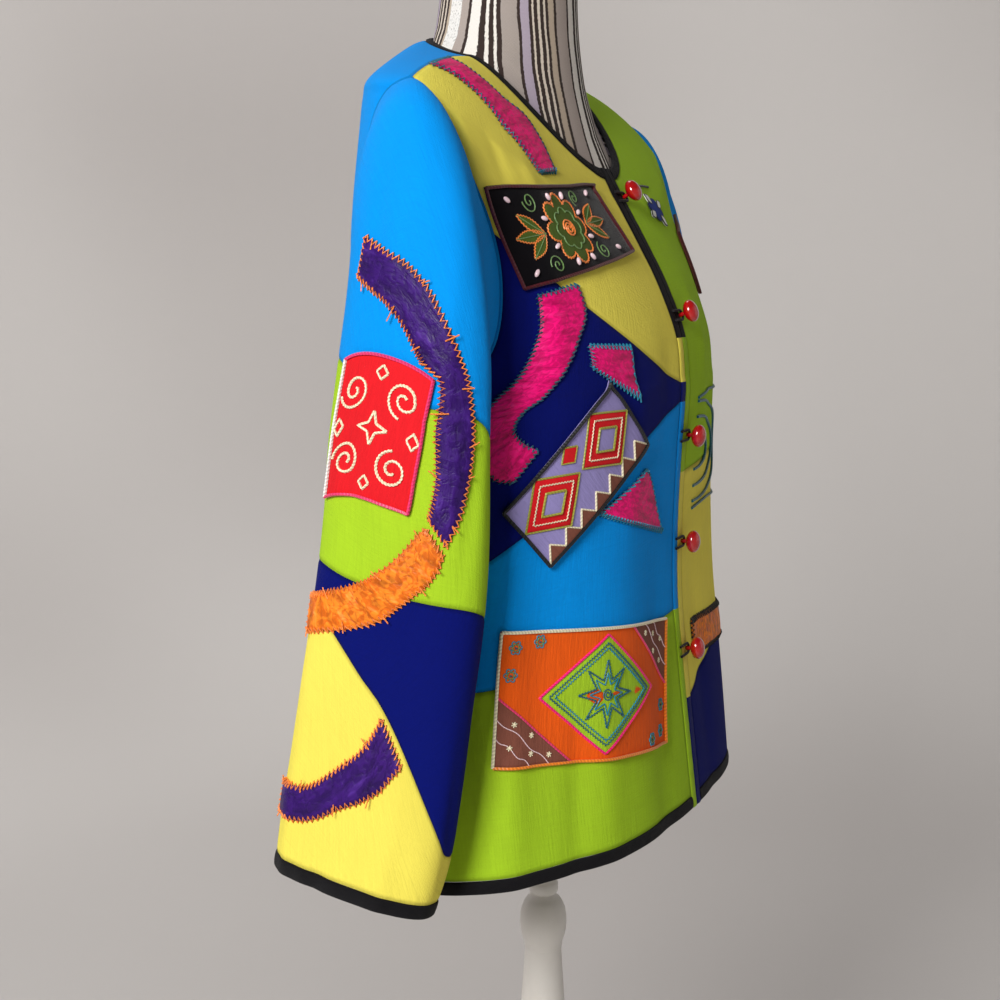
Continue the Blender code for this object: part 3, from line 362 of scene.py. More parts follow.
def rowWhere(reached, low, high):
    # halves the rows between low and high until reached() changes
    for _ in range(halvings):
        middle = (low + high) / 2
        under = reached(middle)
        low, high = np.where(under, middle, low), np.where(under, high, middle)
    return (low + high) / 2


def rowOn(on, angle, height):
    angle, height = np.asarray(angle, float), np.asarray(height, float)
    low = np.zeros(np.broadcast(angle, height).shape)
    if on == "body":
        return rowWhere(lambda row: bodySkin(angle, row)[..., 2] < height, low, low + lastRow)
    return rowWhere(lambda row: rightSleeve(angle, row)[..., 2] > height, low, low + cuffRow)


def degreesFor(angle, row, distance):
    return distance / length(slopes(plainBody, np.asarray(angle, float), np.asarray(row, float))[0])


def edgeAngle(row, distance):
    halfWidth = smoothRead(column(bodySections, "halfWidth"), row)
    return np.degrees(np.arcsin((distance / halfWidth) ** (bodySquareness / 2)))


def frontAngle(row, share, side):
    # a column of a front, from beside its binding to the side seam, the armhole or the shoulder seam
    inner = edgeAngle(row, clothFacts["frontOpening"] / 2 + bindingReach)
    outer = armholeAngle(row, "front")
    outer = outer - degreesFor(outer, row, clothFacts["seamGap"] / 2)
    return side * (inner + (outer - inner) * share)


def backAngle(row, share):
    reach = armholeAngle(row, "back")
    reach = 180 - reach - degreesFor(reach, row, clothFacts["seamGap"] / 2)
    return 180 + reach * (2 * share - 1)


def columnWalk(angleAt, start, distance):
    row = start + np.zeros(np.shape(distance))
    for _ in range(walkSteps):
        ahead = bodySkin(angleAt(row + slopeStep), row + slopeStep)
        behind = bodySkin(angleAt(row - slopeStep), row - slopeStep)
        inside = (row > slopeStep) & (row < lastRow - slopeStep)
        row = row + distance / walkSteps * slopeStep * np.where(inside, 2, 1) / length(ahead - behind)
    return row


print("surfaces ready")

# materials: a Wire is a socket, so that a shader's sums read as Python


def tint(red, green, blue):
    # a colour as seen on screen, from 0 to 255, for a shader
    def straight(value):
        value = value / 255
        return value / 12.92 if value <= 0.04045 else ((value + 0.055) / 1.055) ** 2.4

    return (straight(red), straight(green), straight(blue), 1.0)


class Wire:
    # one socket of a material, on which sums are written as Python expressions
    def __init__(self, finish, socket):
        self.finish, self.socket = finish, socket

    def sum(self, operation, *others):
        return self.finish.node("ShaderNodeMath", {"operation": operation}, dict(enumerate((self, *others))))

    def __add__(self, other):
        return self.sum("ADD", other)

    def __sub__(self, other):
        return self.sum("SUBTRACT", other)

    def __rsub__(self, other):
        return self.finish.node("ShaderNodeMath", {"operation": "SUBTRACT"}, {0: other, 1: self})

    def __mul__(self, other):
        return self.sum("MULTIPLY", other)

    def __lt__(self, other):
        return self.sum("LESS_THAN", other)

    def __gt__(self, other):
        return self.sum("GREATER_THAN", other)

    def __abs__(self):
        return self.sum("ABSOLUTE")

    __radd__, __rmul__ = __add__, __mul__

    def sine(self):
        return self.sum("SINE")

    def between(self, low, high):
        # 0 at low, 1 at high, and smooth between
        return self.finish.node("ShaderNodeMapRange", {"interpolation_type": "SMOOTHSTEP"},
                                {0: self, 1: low, 2: high, 3: 0.0, 4: 1.0})


class Finish:
    def __init__(self, name, **sockets):
        self.material = bpy.data.materials.new(name)
        self.material.use_nodes = True
        self.tree = self.material.node_tree
        self.shader = self.tree.nodes["Principled BSDF"]
        for socket, value in sockets.items():
            self.shader.inputs[socket.replace("_", " ")].default_value = value

    def node(self, kind, settings=None, inputs=None, output=0):
        made = self.tree.nodes.new(kind)
        for key, value in (settings or {}).items():
            if key != "stops":
                setattr(made, key, value)
                continue
            ramp = made.color_ramp
            while len(ramp.elements) < len(value):
                ramp.elements.new(1.0)
            for element, (place, colour) in zip(ramp.elements, value):
                element.position, element.color = place, colour
        for key, value in (inputs or {}).items():
            self.put(made.inputs[key], value)
        return Wire(self, made.outputs[output])

    def put(self, socket, value):
        if isinstance(value, Wire):
            self.tree.links.new(value.socket, socket)
        else:
            socket.default_value = value

    def cut(self):
        # the piece's own cut, in metres across and along
        split = self.node("ShaderNodeSeparateXYZ", None, {0: self.node("ShaderNodeUVMap", {"uv_map": "cut"})})
        return split, Wire(self, split.socket.node.outputs[1])

    def objectPlace(self):
        return self.node("ShaderNodeTexCoord", None, None, 3)

    def attribute(self, name):
        return self.node("ShaderNodeAttribute", {"attribute_name": name}, None, 2)

    def vector(self, x=0.0, y=0.0, z=0.0):
        return self.node("ShaderNodeCombineXYZ", None, {0: x, 1: y, 2: z})

    def noise(self, vector, scale=1.0, detail=2.0, roughness=0.5, distortion=0.0):
        return self.node("ShaderNodeTexNoise", None, {"Vector": vector, "Scale": scale, "Detail": detail,
                                                      "Roughness": roughness, "Distortion": distortion})

    def mix(self, factor, first, second):
        return self.node("ShaderNodeMix", {"data_type": "RGBA"}, {0: factor, 6: first, 7: second}, 2)

    def shade(self, colour, amount):
        # a colour made lighter or darker by a value
        colour = colour if isinstance(colour, Wire) else colour[:3]
        return self.node("ShaderNodeVectorMath", {"operation": "SCALE"}, {0: colour, 3: amount})

    def bump(self, height, distance, strength=1.0):
        made = self.node("ShaderNodeBump", None,
                         {"Height": height, "Distance": distance, "Strength": strength})
        self.put(self.shader.inputs["Normal"], made)

    def colour(self, value):
        self.put(self.shader.inputs["Base Color"], value)
        return self.material

    def rough(self, value):
        self.put(self.shader.inputs["Roughness"], value)


wovenFacts = {"thread": 0.0009, "slub": 0.16, "fade": 0.08, "seamShade": 0.34, "bump": 0.0008,
              "roughness": 0.88, "seamWide": 0.004, "puckerWide": 0.016}


def wovenCloth(name, colour):
    # plain woven cotton: uneven crossing threads, slubs, a little fading, and puckers beside the seams, with
    # painted shade along each seam's ditch and the weave's crossings painted a little lighter and darker
    facts = wovenFacts
    finish = Finish(name, Sheen_Weight=0.02, Sheen_Roughness=0.4, Specular_IOR_Level=0.1)
    u, v = finish.cut()
    turns = 2 * math.pi / facts["thread"]
    slubAlong = finish.noise(finish.vector(u * 520, v * 30), 1.0, 3.0, 0.6)
    slubAcross = finish.noise(finish.vector(u * 34, v * 640), 1.0, 3.0, 0.6)
    weave = (u * turns + slubAcross * 16).sine() * (v * turns + slubAlong * 16).sine()
    slub = slubAlong * 0.6 + slubAcross * 0.4 - 0.5
    fade = finish.noise(finish.objectPlace(), 7.0, 4.0, 0.55) - 0.5
    # painted shade: the colour darkens within a few millimetres of each seam, where the bump sinks into the
    # ditch
    beside = 1 - finish.attribute("fromEdge").between(0.0, facts["seamWide"])
    pucker = finish.noise(finish.objectPlace(), 150.0, 1.0)
    pucker = pucker * (1 - finish.attribute("fromEdge").between(0.0, facts["puckerWide"]))
    shade = slub * facts["slub"] * 2 + fade * facts["fade"] * 2 + 1
    shade = shade - beside * facts["seamShade"] + weave * 0.025
    finish.rough(slub * 0.2 + facts["roughness"])
    finish.bump(weave * 0.12 + slub * 1.5 + pucker * 1.3 - beside * 0.8, facts["bump"], 0.7)
    return finish.colour(finish.shade(colour, shade))


# ornament size and strength, wrinkles a metre across and along, and how strongly they catch the light
satinFacts = {
    "magenta": {"ornament": 150, "figure": 0.6, "across": 60, "along": 190, "glint": 0.26, "crinkle": 0.0007},
    "purple": {"ornament": 110, "figure": 0.45, "across": 120, "along": 40, "glint": 0.5, "crinkle": 0.0014},
    "orange": {"ornament": 135, "figure": 0.8, "across": 90, "along": 160, "glint": 0.35, "crinkle": 0.0008},
}


def crinkledSatin(name, colour, deep, glint):
    # satin with a tone-in-tone woven ornament, drawn into small wrinkles that carry a painted highlight on
    # their crests and painted shade in their troughs, with painted shade along the band's edges
    facts = satinFacts[name]
    finish = Finish(name + "_satin", Sheen_Weight=0.01, Anisotropic=0.3, Specular_IOR_Level=0.22)
    u, v = finish.cut()
    ornament = finish.noise(finish.vector(u, v), facts["ornament"], 2.0, 0.5, 1.6).between(0.42, 0.58)
    slanted = finish.vector(u * facts["across"] + v * facts["along"] * 0.3, v * facts["along"])
    wrinkle = finish.noise(slanted, 1.0, 3.0, 0.55, 0.5)
    fine = finish.noise(finish.vector(u * 900, v * 2600), 1.0, 2.0)
    edge = 1 - finish.attribute("fromEdge").between(0.0, 0.003)
    body = finish.mix((1 - ornament) * facts["figure"], colour, deep)
    lit = finish.mix(wrinkle.between(0.56, 0.76) * facts["glint"], body, glint)
    finish.rough(ornament * 0.14 + 0.4)
    finish.bump(wrinkle * 1.5 + ornament * 0.15 + fine * 0.06 - edge * 0.5, facts["crinkle"], 0.85)
    # painted shade and highlight: darker in the wrinkles' troughs and at the edges, lighter on their crests
    shade = wrinkle.between(0.25, 0.6) * 0.55 + fine * 0.1 - edge * 0.25 + 0.52
    return finish.colour(finish.shade(lit, shade))


def stitchThread(name, colour, gloss=0.42):
    # twisted embroidery thread: painted highlight on the plies along its length and painted shade between
    # them, with a little random wear
    finish = Finish(name, Sheen_Weight=0.1, Roughness=gloss, Specular_IOR_Level=0.5)
    u, v = finish.cut()
    ply = (v * 2300 + u * 1000).sine() * 0.5 + 0.5
    wear = finish.noise(finish.objectPlace(), 60.0, 2.0)
    finish.bump(ply, 0.0003, 0.7)
    return finish.colour(finish.shade(colour, ply * 0.34 + wear * 0.3 + 0.66))


colours = {
    "turquoise": tint(0, 148, 238), "lime": tint(164, 204, 40), "yellow": tint(242, 228, 94),
    "navy": tint(4, 16, 104), "black": tint(12, 11, 14), "magenta": tint(250, 6, 124),
    "deepMagenta": tint(196, 0, 88), "purple": tint(52, 12, 106), "deepPurple": tint(30, 4, 72),
    "orange": tint(240, 132, 30), "deepOrange": tint(206, 92, 14), "red": tint(216, 24, 34),
    "brown": tint(128, 76, 62), "lavender": tint(152, 142, 200), "cream": tint(240, 230, 196),
    "moss": tint(76, 96, 34), "sage": tint(110, 146, 84), "teal": tint(16, 96, 118),
    "brightTeal": tint(22, 140, 170), "darkRed": tint(78, 8, 22), "pink": tint(228, 50, 110),
    "palePink": tint(244, 214, 222), "greenGold": tint(160, 160, 60), "white": tint(236, 236, 232),
    "blue": tint(24, 52, 140), "orangeThread": tint(250, 140, 62),
}
fabrics = {name: wovenCloth(name + "_cotton", colours[name])
           for name in ("turquoise", "lime", "yellow", "navy")}
fabrics["magenta"] = crinkledSatin("magenta", colours["magenta"], colours["deepMagenta"], tint(255, 80, 165))
fabrics["purple"] = crinkledSatin("purple", colours["purple"], colours["deepPurple"], tint(98, 56, 168))
fabrics["orange"] = crinkledSatin("orange", colours["orange"], colours["deepOrange"], tint(255, 196, 110))
threadNames = ["orangeThread", "cream", "pink", "teal", "brightTeal", "moss", "sage", "darkRed", "greenGold",
               "orange", "magenta", "palePink", "white", "black"]
threads = {name: stitchThread(name + "_stitches", colours[name], 0.6 if name == "black" else 0.42)
           for name in threadNames}
print("materials ready")

# cloth shells: closed grids of points, thinner at their cut edges


def endSpaced(count, lengthOf):
    # shares from 0 to 1 along a line of this length, closer together beside its two ends
    lengthOf = np.atleast_1d(np.asarray(lengthOf, float))
    start = np.array(clothFacts["edgeSteps"])[:, None] / lengthOf
    inside = start[-1] + (1 - 2 * start[-1]) * np.linspace(0, 1, count + 1)[1:-1, None]
    return np.concatenate([start, inside, 1 - start[::-1]])


def gridOf(outer, inner):
    # faces of a closed shell between two grids of points
    rows, columns = outer.shape[:2]
    index = np.arange(rows * columns).reshape(rows, columns)
    quads = np.stack([index[:-1, :-1], index[:-1, 1:], index[1:, 1:], index[1:, :-1]], -1).reshape(-1, 4)
    edge = np.concatenate([index[0, :-1], index[:-1, -1], index[-1, :0:-1], index[:0:-1, 0]])
    following = np.roll(edge, -1)
    under = rows * columns
    rim = np.stack([following, edge, edge + under, following + under], -1)
    flat = outer.reshape(-1, 3)
    out = np.cross(flat[quads[:, 1]] - flat[quads[:, 0]], flat[quads[:, 3]] - flat[quads[:, 0]])
    lift = (outer - inner).reshape(-1, 3)[quads[:, 0]]
    faces = np.concatenate([quads, quads[:, ::-1] + under, rim])
    return faces if (out * lift).sum() > 0 else faces[:, ::-1]


def roundFaces(index):
    # faces between rings of points, closed round each ring
    beside = np.roll(index, -1, axis=1)
    return np.stack([index[:-1], beside[:-1], beside[1:], index[1:]], -1).reshape(-1, 4)


def meshObject(name, points, faces, cut, finish, attributes=None, sharp=40):
    mesh = bpy.data.meshes.new(name)
    mesh.from_pydata(points.tolist(), [], [[int(number) for number in face] for face in faces])
    layer = mesh.uv_layers.new(name="cut")
    corner = np.empty(len(mesh.loops), np.int32)
    mesh.loops.foreach_get("vertex_index", corner)
    layer.data.foreach_set("uv", cut[corner].astype(np.float32).ravel())
    for key, values in (attributes or {}).items():
        mesh.attributes.new(key, "FLOAT", "POINT").data.foreach_set("value", values.astype(np.float32))
    mesh.materials.append(finish)
    mesh.shade_smooth()
    mesh.set_sharp_from_angle(angle=math.radians(sharp))
    return addObject(name, mesh)


def gridCut(points):
    # running lengths across and along a grid, in metres
    across = np.pad(np.cumsum(length(np.diff(points, axis=1)), axis=1), ((0, 0), (1, 0)))
    along = np.pad(np.cumsum(length(np.diff(points, axis=0)), axis=0), ((1, 0), (0, 0)))
    return across, along


def layCloth(name, nodes, place, angles, rows, finish, above=0.0, thick=clothFacts["thick"], raised=0.0,
             cut=None):
    # a closed shell of cloth over a grid of angles and rows, thinner at its cut edges
    points, normals = place.skin(angles, rows), outwardOf(place, angles, rows)
    across, along = gridCut(points)
    fromEdge = np.minimum(np.minimum(across, across[:, -1:] - across), np.minimum(along, along[-1:] - along))
    ditch = min(clothFacts["seamDitch"], thick * clothFacts["ditchShare"])
    drop = ditch * np.exp(-((fromEdge / clothFacts["ditchReach"]) ** 2))
    outer = points + normals * (above + raised - drop)[..., None]
    inner = points + normals * (above - thick)
    if cut is None:
        cut = np.stack([across, along], -1)
    both = np.concatenate([outer.reshape(-1, 3), inner.reshape(-1, 3)])
    cuts = np.concatenate([cut.reshape(-1, 2)] * 2)
    piece = meshObject(name, both, gridOf(outer, inner), cuts, finish,
                       {"fromEdge": np.concatenate([fromEdge.ravel()] * 2)})
    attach(piece, "root")
    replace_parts(piece, *nodes)
    quad = np.cross(points[1:, 1:] - points[:-1, :-1], points[1:, :-1] - points[:-1, 1:])
    area = float(length(quad).sum() / 2)
    return piece


def camel(name):
    first, *rest = name.split("_")
    return first + "".join(word.capitalize() for word in rest)


seamHeights = {
    "right": [(0.826, 0.792), (0.996, 0.862), (1.012, 1.128)],
    "left": [(0.75, 0.905), (0.938, 0.968)],
    "back": [(0.846, 0.748), (0.884, 0.962)],
}
blockColours = {
    "right": ["lime", "turquoise", "navy", "yellow"], "left": ["navy", "yellow", "lime"],
    "back": ["navy", "yellow", "turquoise"],
}
blockWidths = {"right": 0.3, "left": 0.3, "back": 0.6}
SleeveSeam = namedtuple("SleeveSeam", "outer front inner back")
sleeveSeams = [SleeveSeam(1.016, 0.992, 0.95, 1.034), SleeveSeam(0.881, 0.866, 0.852, 0.895),
               SleeveSeam(0.812, 0.694, 0.775, 0.862)]
sleeveColours = ["turquoise", "lime", "navy", "yellow"]


def blockRows(low, high, skin, angleAt):
    # rows up a block, even in between and close together at its two cut edges
    run = length(skin(angleAt(high), high) - skin(angleAt(low), low))
    count = max(3, int(round(float(run.max()) / clothFacts["gridStep"])))
    return low + (high - low) * endSpaced(count, run)


def makeBody():
    gap = clothFacts["seamGap"] / 2
    for panel, heights in seamHeights.items():
        side = {"right": -1, "left": 1}.get(panel)
        wide = blockWidths[panel]
        share = endSpaced(int(wide / clothFacts["gridStep"]), wide)[:, 0]

        def angleAt(row, at=share, side=side):
            return backAngle(row, at) if side is None else frontAngle(row, at, side)

        edge = np.full(share.shape, bindingReach)
        hem, neck = columnWalk(angleAt, 0.0, edge), columnWalk(angleAt, lastRow, -edge)
        lines = []
        for first, last in heights:
            height = first + (last - first) * share
            zero = np.zeros(share.shape)
            lines.append(rowWhere(lambda row: bodySkin(angleAt(row), row)[..., 2] < height, zero,
                                  zero + lastRow))
        bounds = [hem, *lines, neck]
        prefix = "back" if side is None else "front_" + panel
        for number, colour in enumerate(blockColours[panel]):
            low, high = bounds[number], bounds[number + 1]
            rise = length(slopes(bodySkin, angleAt(low), np.clip(low, 0.01, None))[1])
            low = low + (gap / rise if number else 0)
            rise = length(slopes(bodySkin, angleAt(high), high)[1])
            high = high - (gap / rise if number < len(blockColours[panel]) - 1 else 0)
            rows = blockRows(low, high, bodySkin, angleAt)
            angles = angleAt(rows, np.broadcast_to(share, rows.shape))
            node = f"{prefix}_{colour}"
            layCloth(camel("cloth_" + node), [node], places["body"], angles, rows, fabrics[colour])


def fourWay(angle, seam):
    turn = np.radians(angle)
    level = (seam.outer + seam.front + seam.inner + seam.back) / 4
    return (level + (seam.outer - seam.inner) / 2 * np.cos(turn) + (seam.front - seam.back) / 2 * np.sin(turn)
            + (seam.outer + seam.inner - seam.front - seam.back) / 4 * np.cos(2 * turn))


def sleeveAngles(step):
    reach = 180 - float(clothFacts["seamGap"] / 2 / length(slopes(rightSleeve, 180.0, 6.0)[0]))
    share = endSpaced(int(0.4 / step), 0.4)[:, 0]
    return -reach + 2 * reach * share


def makeSleeves():
    angles = sleeveAngles(clothFacts["gridStep"])
    right = places["right sleeve"]
    cuff = walk(right, angles, cuffRow, 0, bindingReach)[1]
    seams = [rowOn("right sleeve", angles, fourWay(angles, seam)) for seam in sleeveSeams]
    bounds = [np.zeros(angles.shape), *seams, cuff]
    for number, colour in enumerate(sleeveColours):
        low, high = bounds[number], bounds[number + 1]
        gap = clothFacts["seamGap"] / 2 / length(slopes(rightSleeve, angles, np.clip(high, 1, None))[1])
        low = low + (gap if number else 0)
        high = high - (gap if number < len(sleeveColours) - 1 else 0)
        rows = blockRows(low, high, rightSleeve, lambda row: angles)
        for side in ("right", "left"):
            node = f"sleeve_{side}_{colour}"
            layCloth(camel("cloth_" + node), [node], places[side + " sleeve"],
                     np.broadcast_to(angles, rows.shape), rows, fabrics[colour])


makeBody()
makeSleeves()
print("colour blocks laid")

# bindings: black twill, folded over each raw edge
bindingFacts = {"blackDown": 1.047, "bulge": 0.0007, "sunk": 0.0003, "pucker": 0.3, "puckerEvery": 0.011,
                "slowPucker": 0.0173, "rib": 0.001, "flatWide": 0.0115, "rows": 190, "fronts": 80,
                "backs": 150, "across": [0, 0.07, 0.2, 0.4, 0.6, 0.8, 0.93, 1.0], "cuffStep": 0.004}


def twill(name, colour, blocks=()):
    finish = Finish(name, Sheen_Weight=0.03, Sheen_Roughness=0.5, Specular_IOR_Level=0.15)
    u, v = finish.cut()
    rib = ((u + v) * (2 * math.pi / bindingFacts["rib"])).sine()
    lint = finish.noise(finish.objectPlace(), 260.0, 3.0)
    broad = finish.noise(finish.objectPlace(), 24.0, 3.0)
    finish.rough(lint * 0.2 + 0.62)
    finish.bump(rib * 0.3 + broad * 2.0 + lint * 0.6, 0.0005, 0.8)
    # painted shade between the twill's diagonal ribs, with random tone from the broad and lint noise
    shade = rib * 0.25 + broad * 0.9 + lint * 0.3 + 0.45
    height = finish.node("ShaderNodeSeparateXYZ", None, {0: finish.objectPlace()}, 2)
    for top, block in blocks:
        # below the black stretch the edge has the colours of the blocks beside it
        shade = shade * (height > top) + (height < top) if (top, block) == blocks[0] else shade
        colour = finish.mix(height < top, colour, colours[block])
    return finish.colour(finish.shade(colour, shade))


fabrics["black"] = twill("black_twill", tint(15, 14, 18))
frontTwills = {
    side: twill(side + "_edge_twill", tint(15, 14, 18),
                list(zip([bindingFacts["blackDown"]] + [first for first, _ in reversed(seamHeights[side])],
                         reversed(blockColours[side]))))
    for side in ("right", "left")}


def binding(node, place, angles, rows, finish=fabrics["black"]):
    facts = bindingFacts
    points, normals = place.skin(angles, rows), outwardOf(place, angles, rows)
    across, along = gridCut(points)
    if across[0, -1] > along[-1, 0]:
        share, run = along / along[-1:], across
    else:
        share, run = across / across[:, -1:], along
    turns = run * 2 * math.pi
    waves = np.sin(turns / facts["puckerEvery"]) + np.sin(turns / facts["slowPucker"] + 1)
    swell = facts["bulge"] * (1 + facts["pucker"] * waves / 2)
    bulge = np.sqrt(np.clip(1 - (2 * share - 1) ** 2, 0, 1)) * swell - facts["sunk"]
    proud, thick = clothFacts["bindingProud"], clothFacts["thick"]
    outer = points + normals * (proud + bulge)[..., None]
    inner = points - normals * (thick + proud + bulge)[..., None]
    both = np.concatenate([outer.reshape(-1, 3), inner.reshape(-1, 3)])
    cut = np.concatenate([np.stack([across, along], -1).reshape(-1, 2)] * 2)
    piece = meshObject(camel(node), both, gridOf(outer, inner), cut, finish, sharp=75)
    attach(piece, "root")
    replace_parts(piece, node)


def allRound(row, fronts, backs):
    front = np.linspace(0, 1, fronts + 1)[:-1]
    back = np.linspace(0, 1, backs + 1)[1:-1]
    left, side, behind, otherSide, right = np.split(row, np.cumsum([len(front), 1, len(back), 1]), axis=-1)
    return np.concatenate([
        frontAngle(left, front, 1), armholeAngle(side, "front"), backAngle(behind, back),
        360 - armholeAngle(otherSide, "front"), 360 + frontAngle(right, front[::-1], -1)], axis=-1)


def makeBindings():
    facts, wide = bindingFacts, clothFacts["bindingWide"]
    share = np.array(facts["across"])
    rows = np.broadcast_to(np.linspace(0, lastRow, facts["rows"])[:, None], (facts["rows"], len(share)))
    distance = np.broadcast_to(clothFacts["frontOpening"] / 2 + wide * share, rows.shape)
    for side, sign in (("right", -1), ("left", 1)):
        angles = sign * edgeAngle(rows, distance)
        binding("binding_front_" + side, places["body"], angles, rows, frontTwills[side])
    fronts, backs = facts["fronts"], facts["backs"]
    for node, start, step in (("binding_hem", 0.0, wide), ("binding_neck", lastRow, -wide)):
        rows = columnWalk(lambda row: allRound(row, fronts, backs), start,
                          np.tile(step * share[:, None], 2 * fronts + backs + 1))
        binding(node, places["body"], allRound(rows, fronts, backs), rows)
    angles = sleeveAngles(facts["cuffStep"])
    rows = walk(places["right sleeve"], angles, cuffRow, 0, wide * share[:, None])[1]
    for side in ("right", "left"):
        binding("binding_cuff_" + side, places[side + " sleeve"], np.broadcast_to(angles, rows.shape), rows)


makeBindings()
print("edges bound")

# threads: tubes on the cloth, gathered into one mesh for each colour and place


class Bundle:
    # many short tubes and beads that become one piece
    cutRadius = 0.001

    def __init__(self, name, finish, slot):
        self.name, self.finish, self.slot = name, finish, slot
        self.points, self.faces, self.cut, self.count = [], [], [], 0

    def tube(self, line, out, radius, sides=5):
        line, out = np.asarray(line, float), np.asarray(out, float)
        ahead = headings(line)
        aside = np.cross(ahead, out)
        aside /= np.maximum(length(aside), tiny)[:, None]
        up = np.cross(aside, ahead)
        turns = np.linspace(0, 2 * math.pi, sides, endpoint=False)
        radius = np.broadcast_to(np.asarray(radius, float), (len(line),))
        ring = (aside[:, None] * np.cos(turns)[:, None] + up[:, None] * np.sin(turns)[:, None])
        points = line[:, None] + ring * radius[:, None, None]
        cut = np.stack(np.broadcast_arrays(turns[None] * self.cutRadius, lengthsAlong(line)[:, None]), -1)
        index = self.count + np.arange(len(line) * sides).reshape(len(line), sides)
        self.faces += [*roundFaces(index), index[0, ::-1], index[-1]]
        self.points.append(points.reshape(-1, 3))
        self.cut.append(cut.reshape(-1, 2))
        self.count += len(line) * sides

    def rings(self, points, ends, cuts, middleCut):
        # a closed shape from one end point through its rings to the other
        rings, sides = points.shape[:2]
        first, last = self.count, self.count + 1 + rings * sides
        index = first + 1 + np.arange(rings * sides).reshape(rings, sides)
        beside = np.roll(index, -1, axis=1)
        self.faces += [*roundFaces(index), *([first, b, a] for a, b in zip(index[0], beside[0])),
                       *([last, a, b] for a, b in zip(index[-1], beside[-1]))]
        self.points += [ends[:1], points.reshape(-1, 3), ends[1:]]
        self.cut += [np.array([middleCut]), cuts.reshape(-1, 2), np.array([middleCut])]
        self.count = last + 1

    def bead(self, middle, along, aside, out, half, rings=9, sides=12):
        # a round bead, longer one way
        lean = np.linspace(-math.pi / 2, math.pi / 2, rings)[1:-1, None, None]
        turn = np.linspace(0, 2 * math.pi, sides, endpoint=False)[None, :, None]
        points = (middle + along * half[0] * np.sin(lean) + aside * half[1] * np.cos(lean) * np.cos(turn)
                  + out * half[2] * np.cos(lean) * np.sin(turn))
        ends = np.array([middle - along * half[0], middle + along * half[0]])
        self.rings(points, ends, points[..., :2], middle[:2])

    def finishPiece(self):
        points, cut = np.concatenate(self.points), np.concatenate(self.cut)
        piece = meshObject(self.name, points, self.faces, cut, self.finish, sharp=60)
        bpy.context.view_layer.objects.active = piece
        piece.select_set(True)
        bpy.ops.object.mode_set(mode="EDIT")
        bpy.ops.mesh.select_all(action="SELECT")
        bpy.ops.mesh.normals_make_consistent(inside=False)
        bpy.ops.object.mode_set(mode="OBJECT")
        piece.select_set(False)
        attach(piece, "root")
        return piece


# armhole seams: the turned-in seam allowance that fills the gap between body and sleeve
armholeSeamFacts = {"radius": 0.0019, "sunk": 0.001, "steps": 90}


def makeArmholeSeams():
    facts = armholeSeamFacts
    low, high = bodySections[rowOf["underarm"]].sideZ, bodySections[rowOf["shoulder tip"]].sideZ
    heights = low + (high - low) * np.sin(np.linspace(0, math.pi / 2, facts["steps"]))
    middle = np.array([sleeveFacts["armholeClear"] / 2, 0, 0])
    for side, sign in (("right", 1), ("left", -1)):
        seam = Bundle(f"armholeSeam{side.title()}", fabrics["turquoise"], "turquoise")
        for edge, into in (("front", 1), ("back", -1)):
            inwards = np.array([facts["sunk"] / 2, facts["sunk"] * into, 0])
            line = armholePoint(heights, edge) - middle + inwards
            line[:, 0] *= sign
            seam.tube(line, np.tile([-1.0 * sign, 0.0, 0.0], (len(line), 1)), facts["radius"], 8)
        seam.finishPiece()


makeArmholeSeams()
print("armhole seams turned in")

